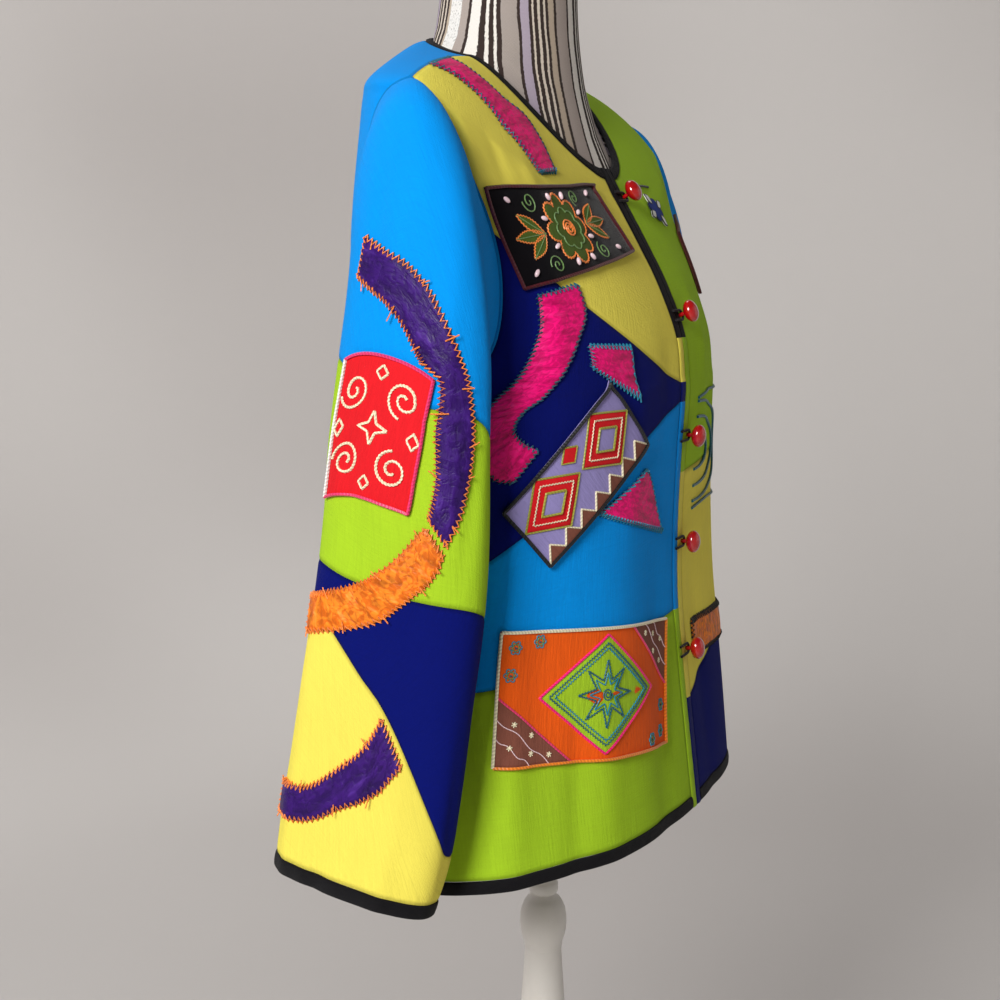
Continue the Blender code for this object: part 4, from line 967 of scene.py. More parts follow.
# satin bands: fabric, edging, and the rails that cross each one, from an angle and height on one edge to
# those on the other
bandTables = {
    "sash": ("purple", "orangeThread", [
        (-32.5, 1.125, -37, 1.097), (-14, 1.117, -22, 1.089), (3, 1.108, -7, 1.0805), (19, 1.0925, 4, 1.066),
        (32, 1.072, 13, 1.0495), (44.5, 1.048, 19.5, 1.0395), (54, 1.031, 31.5, 1.0285),
        (59, 1.0155, 32.5, 1.012), (63.5, 0.994, 30.5, 0.994), (63.5, 0.974, 31, 0.976),
        (59, 0.955, 31, 0.958), (52, 0.935, 28.5, 0.944), (41.5, 0.9155, 26.5, 0.934)]),
    "cross_band": ("orange", "orangeThread", [
        (25, 0.928, 40, 0.9085), (19.5, 0.9225, 36, 0.899), (12, 0.9125, 30, 0.8895), (2.5, 0.9, 20, 0.8805),
        (-8, 0.89, 10, 0.871), (-20, 0.884, -0.5, 0.8605), (-35, 0.879, -18, 0.8535),
        (-52, 0.875, -42, 0.849), (-65, 0.873, -57, 0.8465), (-78, 0.872, -71, 0.845)]),
    "low_band": ("purple", "orangeThread", [
        (-73.5, 0.736, -73.5, 0.712), (-62, 0.736, -60, 0.7115), (-40, 0.7365, -36, 0.712),
        (-28, 0.7405, -21.5, 0.7165), (-18, 0.749, -10.5, 0.7235), (-10, 0.757, -1.5, 0.729),
        (-2.5, 0.765, 6, 0.735), (2, 0.7745, 14, 0.742), (5.5, 0.784, 20.5, 0.752),
        (8.5, 0.7935, 26.5, 0.76)]),
    "shoulder_band": ("magenta", "teal", [
        (-88.5, 1.256, -89, 1.248), (-82.5, 1.2505, -81.5, 1.242), (-73, 1.239, -71.5, 1.23),
        (-64, 1.227, -61.5, 1.2155), (-56, 1.2175, -54.5, 1.204), (-48, 1.206, -47, 1.1935),
        (-38, 1.1905, -39, 1.18), (-28.5, 1.1735, -36, 1.171)]),
    "side_band": ("magenta", "teal", [
        (-36.5, 1.0905, -51, 1.083), (-36, 1.08, -51.5, 1.073), (-37, 1.067, -52.5, 1.06),
        (-40.5, 1.0535, -55, 1.0475), (-44, 1.0385, -58, 1.0345), (-48, 1.024, -62, 1.022),
        (-53.5, 1.0105, -68, 1.009), (-59.5, 1.0005, -73, 0.993), (-62, 0.9885, -73.5, 0.97),
        (-59.5, 0.979, -68, 0.953), (-54.5, 0.973, -62, 0.9505)]),
    "waist_tab": ("magenta", "brightTeal", [
        (-38, 1.047, -23, 1.044), (-37.5, 1.036, -22.5, 1.024), (-37.5, 1.0305, -21, 1.0045)]),
    "waist_wedge": ("magenta", "brightTeal", [
        (-34.5, 0.922, -7.5, 0.8955), (-31, 0.9265, -10, 0.91), (-27.5, 0.932, -12, 0.925),
        (-22.5, 0.94, -14, 0.938), (-18, 0.9485, -16, 0.948)]),
    "left_front_band": ("orange", "black", [
        (5.5, 0.808, 5.5, 0.778), (17, 0.808, 17, 0.778), (34, 0.805, 34, 0.775), (52, 0.801, 52, 0.771),
        (73, 0.797, 73, 0.767)]),
}
zigzagFacts = {"pitch": 0.002, "reach": 0.0019, "radius": 0.00078, "lean": 0.25, "uneven": 0.00022,
               "low": 0.0006, "aboveBand": 0.0005, "endEvery": 0.034, "endLong": 0.01, "endRadius": 0.0005}
bandFacts = {"step": 0.0035, "across": 0.003, "wideForSteps": 0.03, "swell": 0.0004, "ripple": 0.014}


# how high the top of what is laid on the cloth lies
laidTop = clothFacts["laidOnGap"] + clothFacts["patchThick"]


class BandLine:
    # a band's rails, spaced evenly along its middle, and the places at shares of the way across it
    def __init__(self, on, rails, step):
        self.on, self.place = on, places[on]
        table = np.array(rails, float)
        at = np.linspace(0, len(rails) - 1, 4 * len(rails))
        read = smoothRead(table, at)
        run = lengthsAlong(self.place.skin(*self.spots((read[:, :2] + read[:, 2:]) / 2)))
        self.long = run[-1]
        self.count = max(4, int(round(self.long / step)))
        at = np.interp(np.linspace(0, self.long, self.count + 1), run, at)
        read = smoothRead(table, at)
        # the first rail and the last are repeated one step further on, for what reaches past the ends
        self.near, self.far = (np.concatenate([2 * side[:1] - side[1:2], side, 2 * side[-1:] - side[-2:-1]])
                               for side in (read[:, :2], read[:, 2:]))
        ends = [self.place.skin(*self.spots(side[1:-1])) for side in (self.near, self.far)]
        self.wide = length(ends[1] - ends[0])

    def spots(self, pair):
        return pair[..., 0], rowOn(self.on, pair[..., 0], pair[..., 1])

    def at(self, share, step=None):
        # shares of the way across, at every step along or at the given ones
        step = np.arange(self.count + 1) if step is None else np.asarray(step, float)
        step, share = np.broadcast_arrays(step + 1.0, share)
        before = np.clip(step.astype(int), 0, self.count + 1)
        rest = (step - before)[..., None]
        near, far = (side[before] * (1 - rest) + side[before + 1] * rest for side in (self.near, self.far))
        return self.spots(near + (far - near) * np.asarray(share)[..., None])


def steady(seed):
    return np.random.default_rng(seed)


def makeBand(node, key, on, seed):
    fabric, edging, rails = bandTables[key]
    facts, stitches = zigzagFacts, Bundle(camel(node) + "Zigzag", threads[edging], fabric)
    line = BandLine(on, rails, facts["pitch"])
    jitter = steady(seed).normal(0, facts["uneven"], (2, line.count + 1))

    def zigzag(count):
        # out past the edge and back over the band: which way each stitch goes, and its lift off the cloth
        flip = np.where(np.arange(count + 1) % 2, 1.0, -1.0)
        return flip - facts["lean"], np.where(flip > 0, facts["low"], laidTop + facts["aboveBand"])

    def sew(spots, lift, radius, sides=5):
        out = outwardOf(line.place, *spots)
        stitches.tube(line.place.skin(*spots) + out * lift[:, None], out, radius, sides)

    # zigzag stitches over both long edges, then over the two ends
    out, lift = zigzag(line.count)
    for side in (0, 1):
        past = (facts["reach"] * out + jitter[side]) / line.wide
        sew(line.at(side + (2 * side - 1) * past), lift, facts["radius"])
    for end in (0, line.count):
        count = max(3, int(line.wide[end] / facts["pitch"]))
        out, lift = zigzag(count)
        steps = end + np.clip(facts["reach"] / facts["pitch"] * out, -1, 0.98) * (1 if end else -1)
        sew(line.at(np.linspace(0, 1, count + 1), steps), lift, facts["radius"])
    if edging == "orangeThread":
        # loose ends of the stitching thread, sticking out past the edge
        chance = steady(seed + 50)
        for side in (0, 1):
            here = 4.0
            while here < line.count - 3:
                wide = line.wide[int(here)]
                inside = facts["endLong"] * chance.uniform(0.0, 0.6)
                outside = facts["endLong"] * chance.uniform(0.1, 0.6)
                reachOut = np.linspace(-inside, outside, 5) / wide
                skew = np.linspace(0, chance.normal(0, 1.2), 5)
                sew(line.at(side + (2 * side - 1) * reachOut, here + skew),
                    laidTop + np.linspace(0.0011, chance.uniform(0.0012, 0.003), 5), facts["endRadius"], 4)
                here += facts["endEvery"] / facts["pitch"] * chance.uniform(0.5, 1.6)
    sewn = stitches.finishPiece()
    facts = bandFacts
    line = BandLine(on, rails, facts["step"])
    share = endSpaced(int(line.wide.max() / facts["across"]), facts["wideForSteps"])
    angles, rows = line.at(share)
    run = np.linspace(0, line.long, line.count + 1)
    ripple = 1 + 0.5 * np.sin(run * 2 * math.pi / facts["ripple"] + seed)
    swell = facts["swell"] * np.sin(math.pi * share) * ripple
    cut = np.stack(np.broadcast_arrays(line.wide * (share - 0.5), run), -1)
    layCloth(camel(node), [node], line.place, angles, rows, fabrics[fabric], laidTop,
             clothFacts["patchThick"], swell, cut=cut)


def makeBands():
    onSleeves = [(f"{key}_sleeve_{side}", key, side + " sleeve")
                 for side in ("right", "left") for key in ("sash", "cross_band", "low_band")]
    onBody = [(key, key, "body")
              for key in ("shoulder_band", "side_band", "waist_tab", "waist_wedge", "left_front_band")]
    for seed, band in enumerate(onSleeves + onBody, 1):
        makeBand(*band, seed)


makeBands()
print("bands sewn on")

# patches: a cloth ground, appliques and couched threads, each on its own grid
Patch = namedtuple("Patch", "on angle height wide high turned taper")
patchTables = {
    "patch_chest": Patch("body", -31.5, 1.131, 0.154, 0.066, 15, 0.15),
    "patch_waist": Patch("body", -39.8, 0.952, 0.127, 0.065, 42, 0.2),
    "patch_hip": Patch("body", -32.8, 0.786, 0.192, 0.0995, -7.5, 0.0),
    "patch_left_chest": Patch("body", 43, 1.112, 0.046, 0.062, 12, 0.0),
    "patch_left_motif": Patch("body", 17.5, 1.15, 0.036, 0.026, -20, 0.0),
    "patch_sleeve_right": Patch("right sleeve", -9.4, 0.995, 0.077, 0.1, -9.2, 0.0),
    "patch_sleeve_left": Patch("left sleeve", -9.4, 0.995, 0.077, 0.1, -9.2, 0.0),
}

appliqueFacts = {"streak": 0.16, "roughness": 0.7, "grain": 0.24, "fade": 0.2, "base": 0.62}


def appliqueCloth(name, colour):
    # cut-out cloth held down by stitches, drawn into fine lengthwise wrinkles, with painted highlight on
    # their crests and painted shade in their troughs
    facts = appliqueFacts
    finish = Finish(name, Sheen_Weight=0.04, Specular_IOR_Level=0.15)
    u, v = finish.cut()
    wrinkle = finish.noise(finish.vector(u * 420, v * 46), 1.0, 3.0, 0.6, 0.4)
    grain = finish.noise(finish.vector(u * 1500, v * 1500), 1.0, 2.0)
    fade = finish.noise(finish.objectPlace(), 30.0, 3.0)
    finish.rough(grain * 0.2 + facts["roughness"])
    finish.bump(wrinkle * 1.2 + grain * 0.4, 0.0007, 0.8)
    # painted shade and highlight along the wrinkles; the grain and fade are random tone
    shade = wrinkle * (2 * facts["streak"]) + grain * facts["grain"] + fade * facts["fade"] + facts["base"]
    return finish.colour(finish.shade(colour, shade))


def blackVelvet():
    finish = Finish("black_velvet", Roughness=0.9, Sheen_Weight=0.35, Sheen_Roughness=0.3,
                    Specular_IOR_Level=0.08)
    u, v = finish.cut()
    nap = finish.noise(finish.vector(u * 60, v * 30), 1.0, 4.0, 0.6)
    pile = finish.noise(finish.vector(u * 2600, v * 2600), 1.0, 1.0)
    finish.bump(pile + nap * 0.5, 0.0004, 0.6)
    return finish.colour(finish.shade(tint(15, 13, 17), nap * 0.9 + pile * 0.4 + 0.35))


def glossyGlass(name, colour):
    # a bead of coloured glass or resin, faintly cloudy
    finish = Finish(name, Roughness=0.18, Coat_Weight=1.0, Coat_Roughness=0.06, Specular_IOR_Level=0.6)
    cloud = finish.noise(finish.objectPlace(), 160.0, 3.0)
    finish.bump(finish.noise(finish.objectPlace(), 70.0, 2.0), 0.0006, 0.3)
    return finish.colour(finish.shade(colour, cloud * 0.5 + 0.72))


trims = dict(threads)
trims.update({name + "Cloth": appliqueCloth(name + "_applique", colours[name])
              for name in ("moss", "red", "brown", "lime", "pink", "lavender", "blue", "white")})
trims["orangeCloth"] = appliqueCloth("orange_applique", tint(236, 92, 14))
trims["pinkBead"] = glossyGlass("pink_bead", colours["palePink"])
patchGrounds = {"velvet": blackVelvet(), "lavender": trims["lavenderCloth"], "orange": trims["orangeCloth"],
                "brown": trims["brownCloth"], "navy": trims["blueCloth"], "red": trims["redCloth"]}


embroideryFacts = {"gridStep": 0.002, "margin": 0.006, "threadStep": 0.0013, "edgeStep": 0.0025,
                   "clothStep": 0.004, "under": -0.0004, "bead": (0.0032, 0.0018, 0.0016), "swell": 0.0003,
                   "sunk": 0.0001}


class Embroidery:
    # one patch: places on it at distances across and up from its middle, and the pieces sewn there
    def __init__(self, node, slot):
        patch, facts = patchTables[node], embroideryFacts
        self.node, self.slot, self.place = node, slot, places[patch.on]
        self.wide, self.high = patch.wide, patch.high
        self.reach = np.array([patch.wide, patch.high]) / 2 + facts["margin"]
        self.counts = np.ceil(2 * self.reach / facts["gridStep"]).astype(int)
        p, q = np.meshgrid(*(np.linspace(-far, far, count + 1)
                             for far, count in zip(self.reach, self.counts)))
        q = q * (1 + patch.taper * p / patch.wide)
        tilt = math.radians(patch.turned)
        middle = float(rowOn(patch.on, patch.angle, patch.height))
        across, up = p * math.cos(tilt) - q * math.sin(tilt), p * math.sin(tilt) + q * math.cos(tilt)
        self.angles, self.rows = walk(self.place, patch.angle, middle, across, up)
        self.bundles, self.base = {}, laidTop

    def into(self, trim):
        name = camel(self.node) + trim[0].upper() + trim[1:]
        return self.bundles.setdefault(trim, Bundle(name, trims[trim], self.slot))

    def at(self, p, q):
        spot = np.clip((np.stack([p, q], -1) / self.reach + 1) / 2 * self.counts, 0, self.counts - 1e-6)
        (x, y), (right, up) = np.moveaxis(spot.astype(int), -1, 0), np.moveaxis(spot % 1, -1, 0)
        reads = []
        for grid in (self.angles, self.rows):
            low = grid[y, x] * (1 - right) + grid[y, x + 1] * right
            high = grid[y + 1, x] * (1 - right) + grid[y + 1, x + 1] * right
            reads.append(low * (1 - up) + high * up)
        return reads

    def lay(self, p, q, lift):
        angles, rows = self.at(p, q)
        out = outwardOf(self.place, angles, rows)
        return self.place.skin(angles, rows) + out * (self.base + lift)[..., None], out

    def line(self, trim, path, radius=0.0007, zig=0.0, closed=False, lift=0.0):
        # a couched thread along a path, wandering from side to side where zig is given
        path = np.asarray(path, float)
        path = np.concatenate([path, path[:1]]) if closed else path
        run = lengthsAlong(path)
        count = max(2, int(round(run[-1] / embroideryFacts["threadStep"])))
        line = readAlong(path, run, np.linspace(0, run[-1], count + 1))
        ahead = headings(line)
        flip = np.where(np.arange(count + 1) % 2, zig, -zig)
        p, q = line[:, 0] - ahead[:, 1] * flip, line[:, 1] + ahead[:, 0] * flip
        points, out = self.lay(p, q, np.full(p.shape, lift + radius * 0.6))
        self.into(trim).tube(points, out, radius)

    def shape(self, trim, outline, rise=0.0007):
        # a cut-out laid on the ground, a little proud, its edge turned down
        outline = np.asarray(outline, float)
        closed = np.concatenate([outline, outline[:1]])
        run, under = lengthsAlong(closed), embroideryFacts["under"]
        count = max(len(outline), int(run[-1] / embroideryFacts["edgeStep"]))
        at = np.linspace(0, run[-1], count + 1)[:-1]
        edge = readAlong(closed, run, np.unique(np.concatenate([at, run[:-1]]).round(6)))
        middle = outline.mean(axis=0)
        rings = ((0.45, 1.0), (0.85, 1.0), (0.98, 0.85), (1.0, 0.3))
        spots = np.array([middle + (edge - middle) * share for share, _ in rings] + [edge])
        lifts = np.array([rise * lift for _, lift in rings] + [under])
        points, _ = self.lay(spots[..., 0], spots[..., 1], np.broadcast_to(lifts[:, None], spots.shape[:2]))
        ends, _ = self.lay(middle[None, 0], middle[None, 1], np.array([rise, under]))
        self.into(trim).rings(points, ends, spots, middle)

    def bead(self, p, q, turned):
        half, step = embroideryFacts["bead"], embroideryFacts["gridStep"]
        across, up = np.array([0, math.cos(turned)]) * step, np.array([0, math.sin(turned)]) * step
        spots, out = self.lay(p + across, q + up, np.full(2, half[2] * 0.9))
        along = (spots[1] - spots[0]) / length(spots[1] - spots[0])
        self.into("pinkBead").bead(spots[0], along, np.cross(out[0], along), out[0], half)

    def edges(self, cords, radius, inset=0.0006):
        # cords over the four raw edges: foot, right, top and left
        x, y = self.wide / 2 - inset, self.high / 2 - inset
        corners = [(-x, -y), (x, -y), (x, y), (-x, y)]
        for number, trim in enumerate(cords):
            self.line(trim, [corners[number], corners[(number + 1) % 4]], radius)

    def finishPatch(self):
        facts = embroideryFacts
        p, q = np.meshgrid(*(endSpaced(int(size / facts["clothStep"]), size)[:, 0] * size - size / 2
                             for size in (self.wide, self.high)))
        angles, rows = self.at(p, q)
        sewn = [bundle.finishPiece() for bundle in self.bundles.values()]
        swell = facts["swell"] * np.cos(math.pi * p / self.wide) * np.cos(math.pi * q / self.high)
        layCloth(camel(self.node), [self.node], self.place, angles, rows, patchGrounds[self.slot],
                 laidTop, clothFacts["patchThick"], swell - facts["sunk"],
                 cut=np.stack([p, q], -1))


def spread(middle, reach, turn):
    # the points at these distances and turns from a middle
    return np.stack([middle[0] + reach * np.cos(turn), middle[1] + reach * np.sin(turn)], -1)


def petalled(middle, radius, petals, depth, sides=96):
    turn = np.linspace(0, 2 * math.pi, sides, endpoint=False)
    return spread(middle, radius * (1 - depth + depth * np.abs(np.cos(petals / 2 * turn)) ** 0.8), turn)


def diamond(middle, across, up):
    x, y = middle
    return [(x + across, y), (x, y + up), (x - across, y), (x, y - up)]


def starShape(middle, long, short, points):
    number = np.arange(2 * points)
    return spread(middle, np.where(number % 2, short, long), number * math.pi / points)


def spiral(middle, start, end, turns, turned=0.0, hand=1):
    share = np.linspace(0, 1, int(40 * turns))
    return spread(middle, start + (end - start) * share, turned + hand * share * turns * 2 * math.pi)


def leafShape(foot, tip, wide, sides=14):
    foot, tip = np.array(foot), np.array(tip)
    aside = np.array([-(tip - foot)[1], (tip - foot)[0]]) / math.dist(foot, tip)
    share = np.linspace(0, 1, sides)[:, None]
    bulge = np.sin(math.pi * share) * wide / 2
    return np.concatenate([foot + (tip - foot) * share + aside * bulge,
                           (foot + (tip - foot) * share - aside * bulge)[-2:0:-1]])


chestFacts = {"flower": 0.026, "heart": 0.007, "curl": 0.0075, "leafWide": 0.0085}


def chestPatch(patch):
    facts = chestFacts
    flower = (-0.004, 0.0)
    patch.shape("mossCloth", petalled(flower, facts["flower"], 8, 0.3))
    patch.line("orangeThread", petalled(flower, facts["flower"] + 0.0008, 8, 0.3), 0.0007, 0.0005, True)
    patch.line("sage", petalled(flower, facts["flower"] * 0.62, 8, 0.2), 0.0005, 0.0, True, 0.0007)
    patch.line("orangeThread", spiral(flower, 0.0012, facts["heart"], 2.5), 0.0007, lift=0.0007)
    for number in range(8):
        turn = (number + 0.5) * math.pi / 4
        patch.bead(flower[0] + 0.0275 * math.cos(turn), flower[1] + 0.0265 * math.sin(turn), turn)
    for side in (-1, 1):
        root = (flower[0] + side * 0.031, 0.0)
        for lean, reach in ((0.0, 0.03), (0.62, 0.026), (-0.62, 0.026)):
            tip = (root[0] + side * reach * math.cos(lean), root[1] + reach * math.sin(lean))
            leaf = leafShape(root, tip, facts["leafWide"])
            patch.shape("mossCloth", leaf, 0.0006)
            patch.line("orangeThread", leaf, 0.0006, 0.0004, True)
            patch.line("sage", [root, tip], 0.0004, lift=0.0006)
        for up in (-1, 1):
            patch.line("sage", spiral((flower[0] + side * 0.0335, up * 0.0225), 0.001, facts["curl"], 1.6,
                                      turned=up * 0.6, hand=side * up), 0.0005)
            patch.bead(flower[0] + side * 0.0565, up * 0.0245, up * side * 0.7)
    patch.edges(["darkRed"] * 4, 0.0014)


waistFacts = {"diamond": 0.025, "tooth": 0.013, "teeth": 7}


def waistPatch(patch):
    facts = waistFacts
    x, y = patch.wide / 2 - 0.002, patch.high / 2 - 0.002
    for middle in ((-0.0315, 0.0055), (0.0315, 0.0055)):
        far = facts["diamond"]
        patch.shape("redCloth", diamond(middle, far * 1.15, far))
        patch.line("greenGold", diamond(middle, far * 1.15 + 0.001, far + 0.001), 0.0008, 0.0, True)
        patch.line("cream", diamond(middle, far * 0.88, far * 0.76), 0.0005, 0.0004, True, 0.0007)
        patch.shape("lavenderCloth", diamond(middle, far * 0.52, far * 0.44), 0.0013)
        patch.line("greenGold", diamond(middle, far * 0.52, far * 0.44), 0.001, 0.0, True, 0.0007)
    patch.shape("redCloth", diamond((0.0, 0.0225), 0.0085, 0.007))
    patch.line("greenGold", diamond((0.0, 0.0225), 0.009, 0.0075), 0.0007, 0.0, True)
    step = 2 * x / facts["teeth"]
    tips = [(-x, -y)]
    for number in range(facts["teeth"]):
        left = -x + step * number
        tip = (left + step / 2, -y + facts["tooth"])
        patch.shape("brownCloth", [(left, -y), (left + step, -y), tip])
        tips += [tip, (left + step, -y + 0.001)]
    patch.line("cream", tips, 0.0008)
    patch.edges(["black"] * 4, 0.0015)


hipFacts = {"across": 0.06, "up": 0.0445, "cornerAcross": 0.064, "cornerUp": 0.05, "star": 0.026}


def hipPatch(patch):
    facts = hipFacts
    x, y = patch.wide / 2 - 0.0015, patch.high / 2 - 0.0015
    centre = diamond((0.0, 0.0), facts["across"], facts["up"])
    patch.shape("limeCloth", centre, 0.0006)
    patch.line("magenta", centre, 0.001, 0.0, True)
    for share in (0.86, 0.78):
        inner = diamond((0.0, 0.0), facts["across"] * share, facts["up"] * share)
        patch.line("brightTeal" if share < 0.8 else "teal", inner, 0.0005, 0.0007, True, 0.0006)
    star = starShape((0.0, 0.0), facts["star"], facts["star"] * 0.42, 8)
    patch.line("teal", star, 0.0006, 0.0004, True, 0.0006)
    star = starShape((0.0, 0.0), facts["star"] * 0.62, facts["star"] * 0.28, 8)
    patch.line("brightTeal", star, 0.0005, 0.0, True, 0.0006)
    patch.line("teal", spiral((0.0, 0.0), 0.001, 0.005, 2.0), 0.0005, lift=0.0006)
    for side in (-1, 1):
        corner = [(side * x, side * y), (side * (x - facts["cornerAcross"]), side * y),
                  (side * x, side * (y - facts["cornerUp"]))]
        patch.shape("brownCloth", corner, 0.0006)
        patch.line("pink", [corner[1], corner[2]], 0.0009)
        for share in (0.3, 0.58):
            root, first, second = (np.array(spot) for spot in corner)
            first, second = first + (root - first) * share, second + (root - second) * share
            wave = np.linspace(0, 1, 30)[:, None]
            path = first + (second - first) * wave + np.array([0.0, 0.0014]) * np.sin(wave * 12)
            patch.line("palePink", path, 0.0004, lift=0.0006)
        for a, b in ((0.16, 0.28), (0.44, 0.17), (0.2, 0.62), (0.7, 0.13), (0.44, 0.44)):
            spot = np.array([x - facts["cornerAcross"] * a, y - facts["cornerUp"] * b]) * side
            for turn in (0.3, 1.35, 2.4):
                reach = np.array([math.cos(turn), math.sin(turn)]) * 0.0021
                patch.line("cream", [spot - reach, spot + reach], 0.0005, lift=0.0006)
        for a, b in ((0.17, 0.2), (0.5, 0.13), (0.13, 0.6)):
            spot = (-side * (x - facts["cornerAcross"] * a), side * (y - facts["cornerUp"] * b))
            patch.line("brightTeal", petalled(spot, 0.0052, 6, 0.4, 36), 0.0005, 0.0, True)
            patch.line("sage", petalled(spot, 0.003, 6, 0.3, 24), 0.0005, 0.0, True)
            patch.line("teal", spiral(spot, 0.0003, 0.0012, 1.0), 0.0004)
    patch.edges(["orange", "orange", "cream", "cream"], 0.0013)


sleevePatchFacts = {"spiral": 0.0135, "turns": 1.6, "cord": 0.001}


def sleevePatch(patch):
    facts = sleevePatchFacts
    for side in (-1, 1):
        for up in (-1, 1):
            middle = (side * 0.0205, up * 0.0245)
            patch.line("cream", spiral(middle, 0.0022, facts["spiral"], facts["turns"], 0.8 * up, side * up),
                       facts["cord"], 0.0002)
        patch.line("cream", diamond((side * 0.032, 0.0), 0.0046, 0.0062), facts["cord"] * 0.9, 0.0, True)
        patch.line("cream", diamond((0.0, side * 0.0385), 0.0046, 0.005), facts["cord"] * 0.9, 0.0, True)
    patch.line("cream", starShape((0.0, 0.0), 0.012, 0.0045, 4), facts["cord"], 0.0, True)
    patch.edges(["pink", "pink", "pink", "white"], 0.0012)


def leftChestPatch(patch):
    patch.shape("pinkCloth", diamond((0.0, 0.0), 0.014, 0.02))
    patch.line("cream", diamond((0.0, 0.0), 0.0146, 0.0207), 0.0006, 0.0, True)
    patch.shape("redCloth", diamond((0.0, 0.0), 0.006, 0.0085), 0.0013)
    patch.edges(["darkRed"] * 4, 0.0011)


def leftMotif(patch):
    # an applique with no ground: a blue four-lobed shape and four white petals, right on the lime cloth
    outline = petalled((0.0, 0.0), 0.0125, 4, 0.35, 48) * np.array([1.25, 0.85])
    patch.base = 0.001
    patch.shape("blueCloth", outline, 0.0006)
    patch.line("black", outline, 0.0005, 0.0, True)
    for side in (-1, 1):
        for up in (-1, 1):
            leaf = leafShape((side * 0.0062, up * 0.004), (side * 0.0166, up * 0.0112), 0.007, 10)
            patch.shape("whiteCloth", leaf, 0.0011)
            patch.line("black", leaf, 0.0005, 0.0, True, 0.0004)
    sewn = [bundle.finishPiece() for bundle in patch.bundles.values()]
    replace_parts(sewn[0], patch.node)


def makePatches():
    for node, slot, work in (("chest", "velvet", chestPatch), ("waist", "lavender", waistPatch),
                             ("hip", "orange", hipPatch), ("left_chest", "brown", leftChestPatch),
                             ("sleeve_right", "red", sleevePatch), ("sleeve_left", "red", sleevePatch)):
        patch = Embroidery("patch_" + node, slot)
        work(patch)
        patch.finishPatch()
    leftMotif(Embroidery("patch_left_motif", "navy"))


makePatches()
print("patches embroidered")

# couched lines straight on the left front: teal waves and one short black stroke
frontLineFacts = {"radius": 0.0013, "middle": (7.0, 0.951), "arcs": [(25, 0.042), (18, 0.029), (10, 0.015)],
                  "strokes": [(0.996, 0.009), (0.903, 0.007)], "strokeWide": 60, "wander": 0.002,
                  "short": (10.0, 1.1655, 13.0, 0.004), "shortRadius": 0.001}


def couchedLine(bundle, angles, heights, radius):
    place = places["body"]
    rows = rowOn("body", angles, heights)
    out = outwardOf(place, angles, rows)
    bundle.tube(place.skin(angles, rows) + out * radius * 0.5, out, radius)


def makeFrontLines():
    facts = frontLineFacts
    teal = Bundle("leftFrontWaves", threads["teal"], "yellow")
    black = Bundle("leftFrontStroke", threads["black"], "lime")
    turn = np.linspace(-math.pi / 2, math.pi / 2, 60)
    angle, height = facts["middle"]
    for degrees, tall in facts["arcs"]:
        couchedLine(teal, angle + degrees * np.cos(turn), height + tall * np.sin(turn), facts["radius"])
    share = np.linspace(0, 1, 50)
    for start, rise in facts["strokes"]:
        heights = start + rise * share + facts["wander"] * np.sin(share * 9)
        couchedLine(teal, angle + share * facts["strokeWide"], heights, facts["radius"])
    share = np.linspace(0, 1, 16)
    start, height, wide, rise = facts["short"]
    heights = height + rise * share + facts["wander"] * np.sin(share * 3)
    couchedLine(black, start + wide * share, heights, facts["shortRadius"])
    teal.finishPiece()
    black.finishPiece()


makeFrontLines()
print("left front lines couched")

# buttons and loops: red oval beads on shanks, and black cord loops round them
buttonFacts = {"heights": [1.158, 1.064, 0.968, 0.88, 0.79], "x": 0.0085, "half": (0.0077, 0.0092, 0.0058),
               "depth": 0.0102, "shank": 0.0017, "shankLong": 0.006, "lift": 0.0008, "cord": 0.0011,
               "reach": 0.004, "loopStart": -0.016, "legEnd": -0.0008, "legSteps": 12}


def buttonFrame(height):
    # a place on the left front's binding: its point, and the ways across, up and out of the cloth
    row = rowWhere(lambda row: bodySkin(0.0, row)[..., 2] < height, 0.0, lastRow)
    angle = edgeAngle(row, buttonFacts["x"])
    out = outwardOf(places["body"], angle, row)
    up = np.array([0.0, 0.0, 1.0]) - out * out[2]
    up /= length(up)
    return bodySkin(angle, row), np.cross(up, out), up, out


def closureCord():
    finish = Finish("loop_cord", Roughness=0.7, Sheen_Weight=0.1, Specular_IOR_Level=0.2)
    u, v = finish.cut()
    # the plies of the twist get a painted highlight on their tops and painted shade between them
    ply = (v * 3600 + u * 1000).sine() * 0.5 + 0.5
    finish.bump(ply, 0.0004, 0.8)
    return finish.colour(finish.shade(tint(24, 22, 27), ply * 0.7 + 0.5))


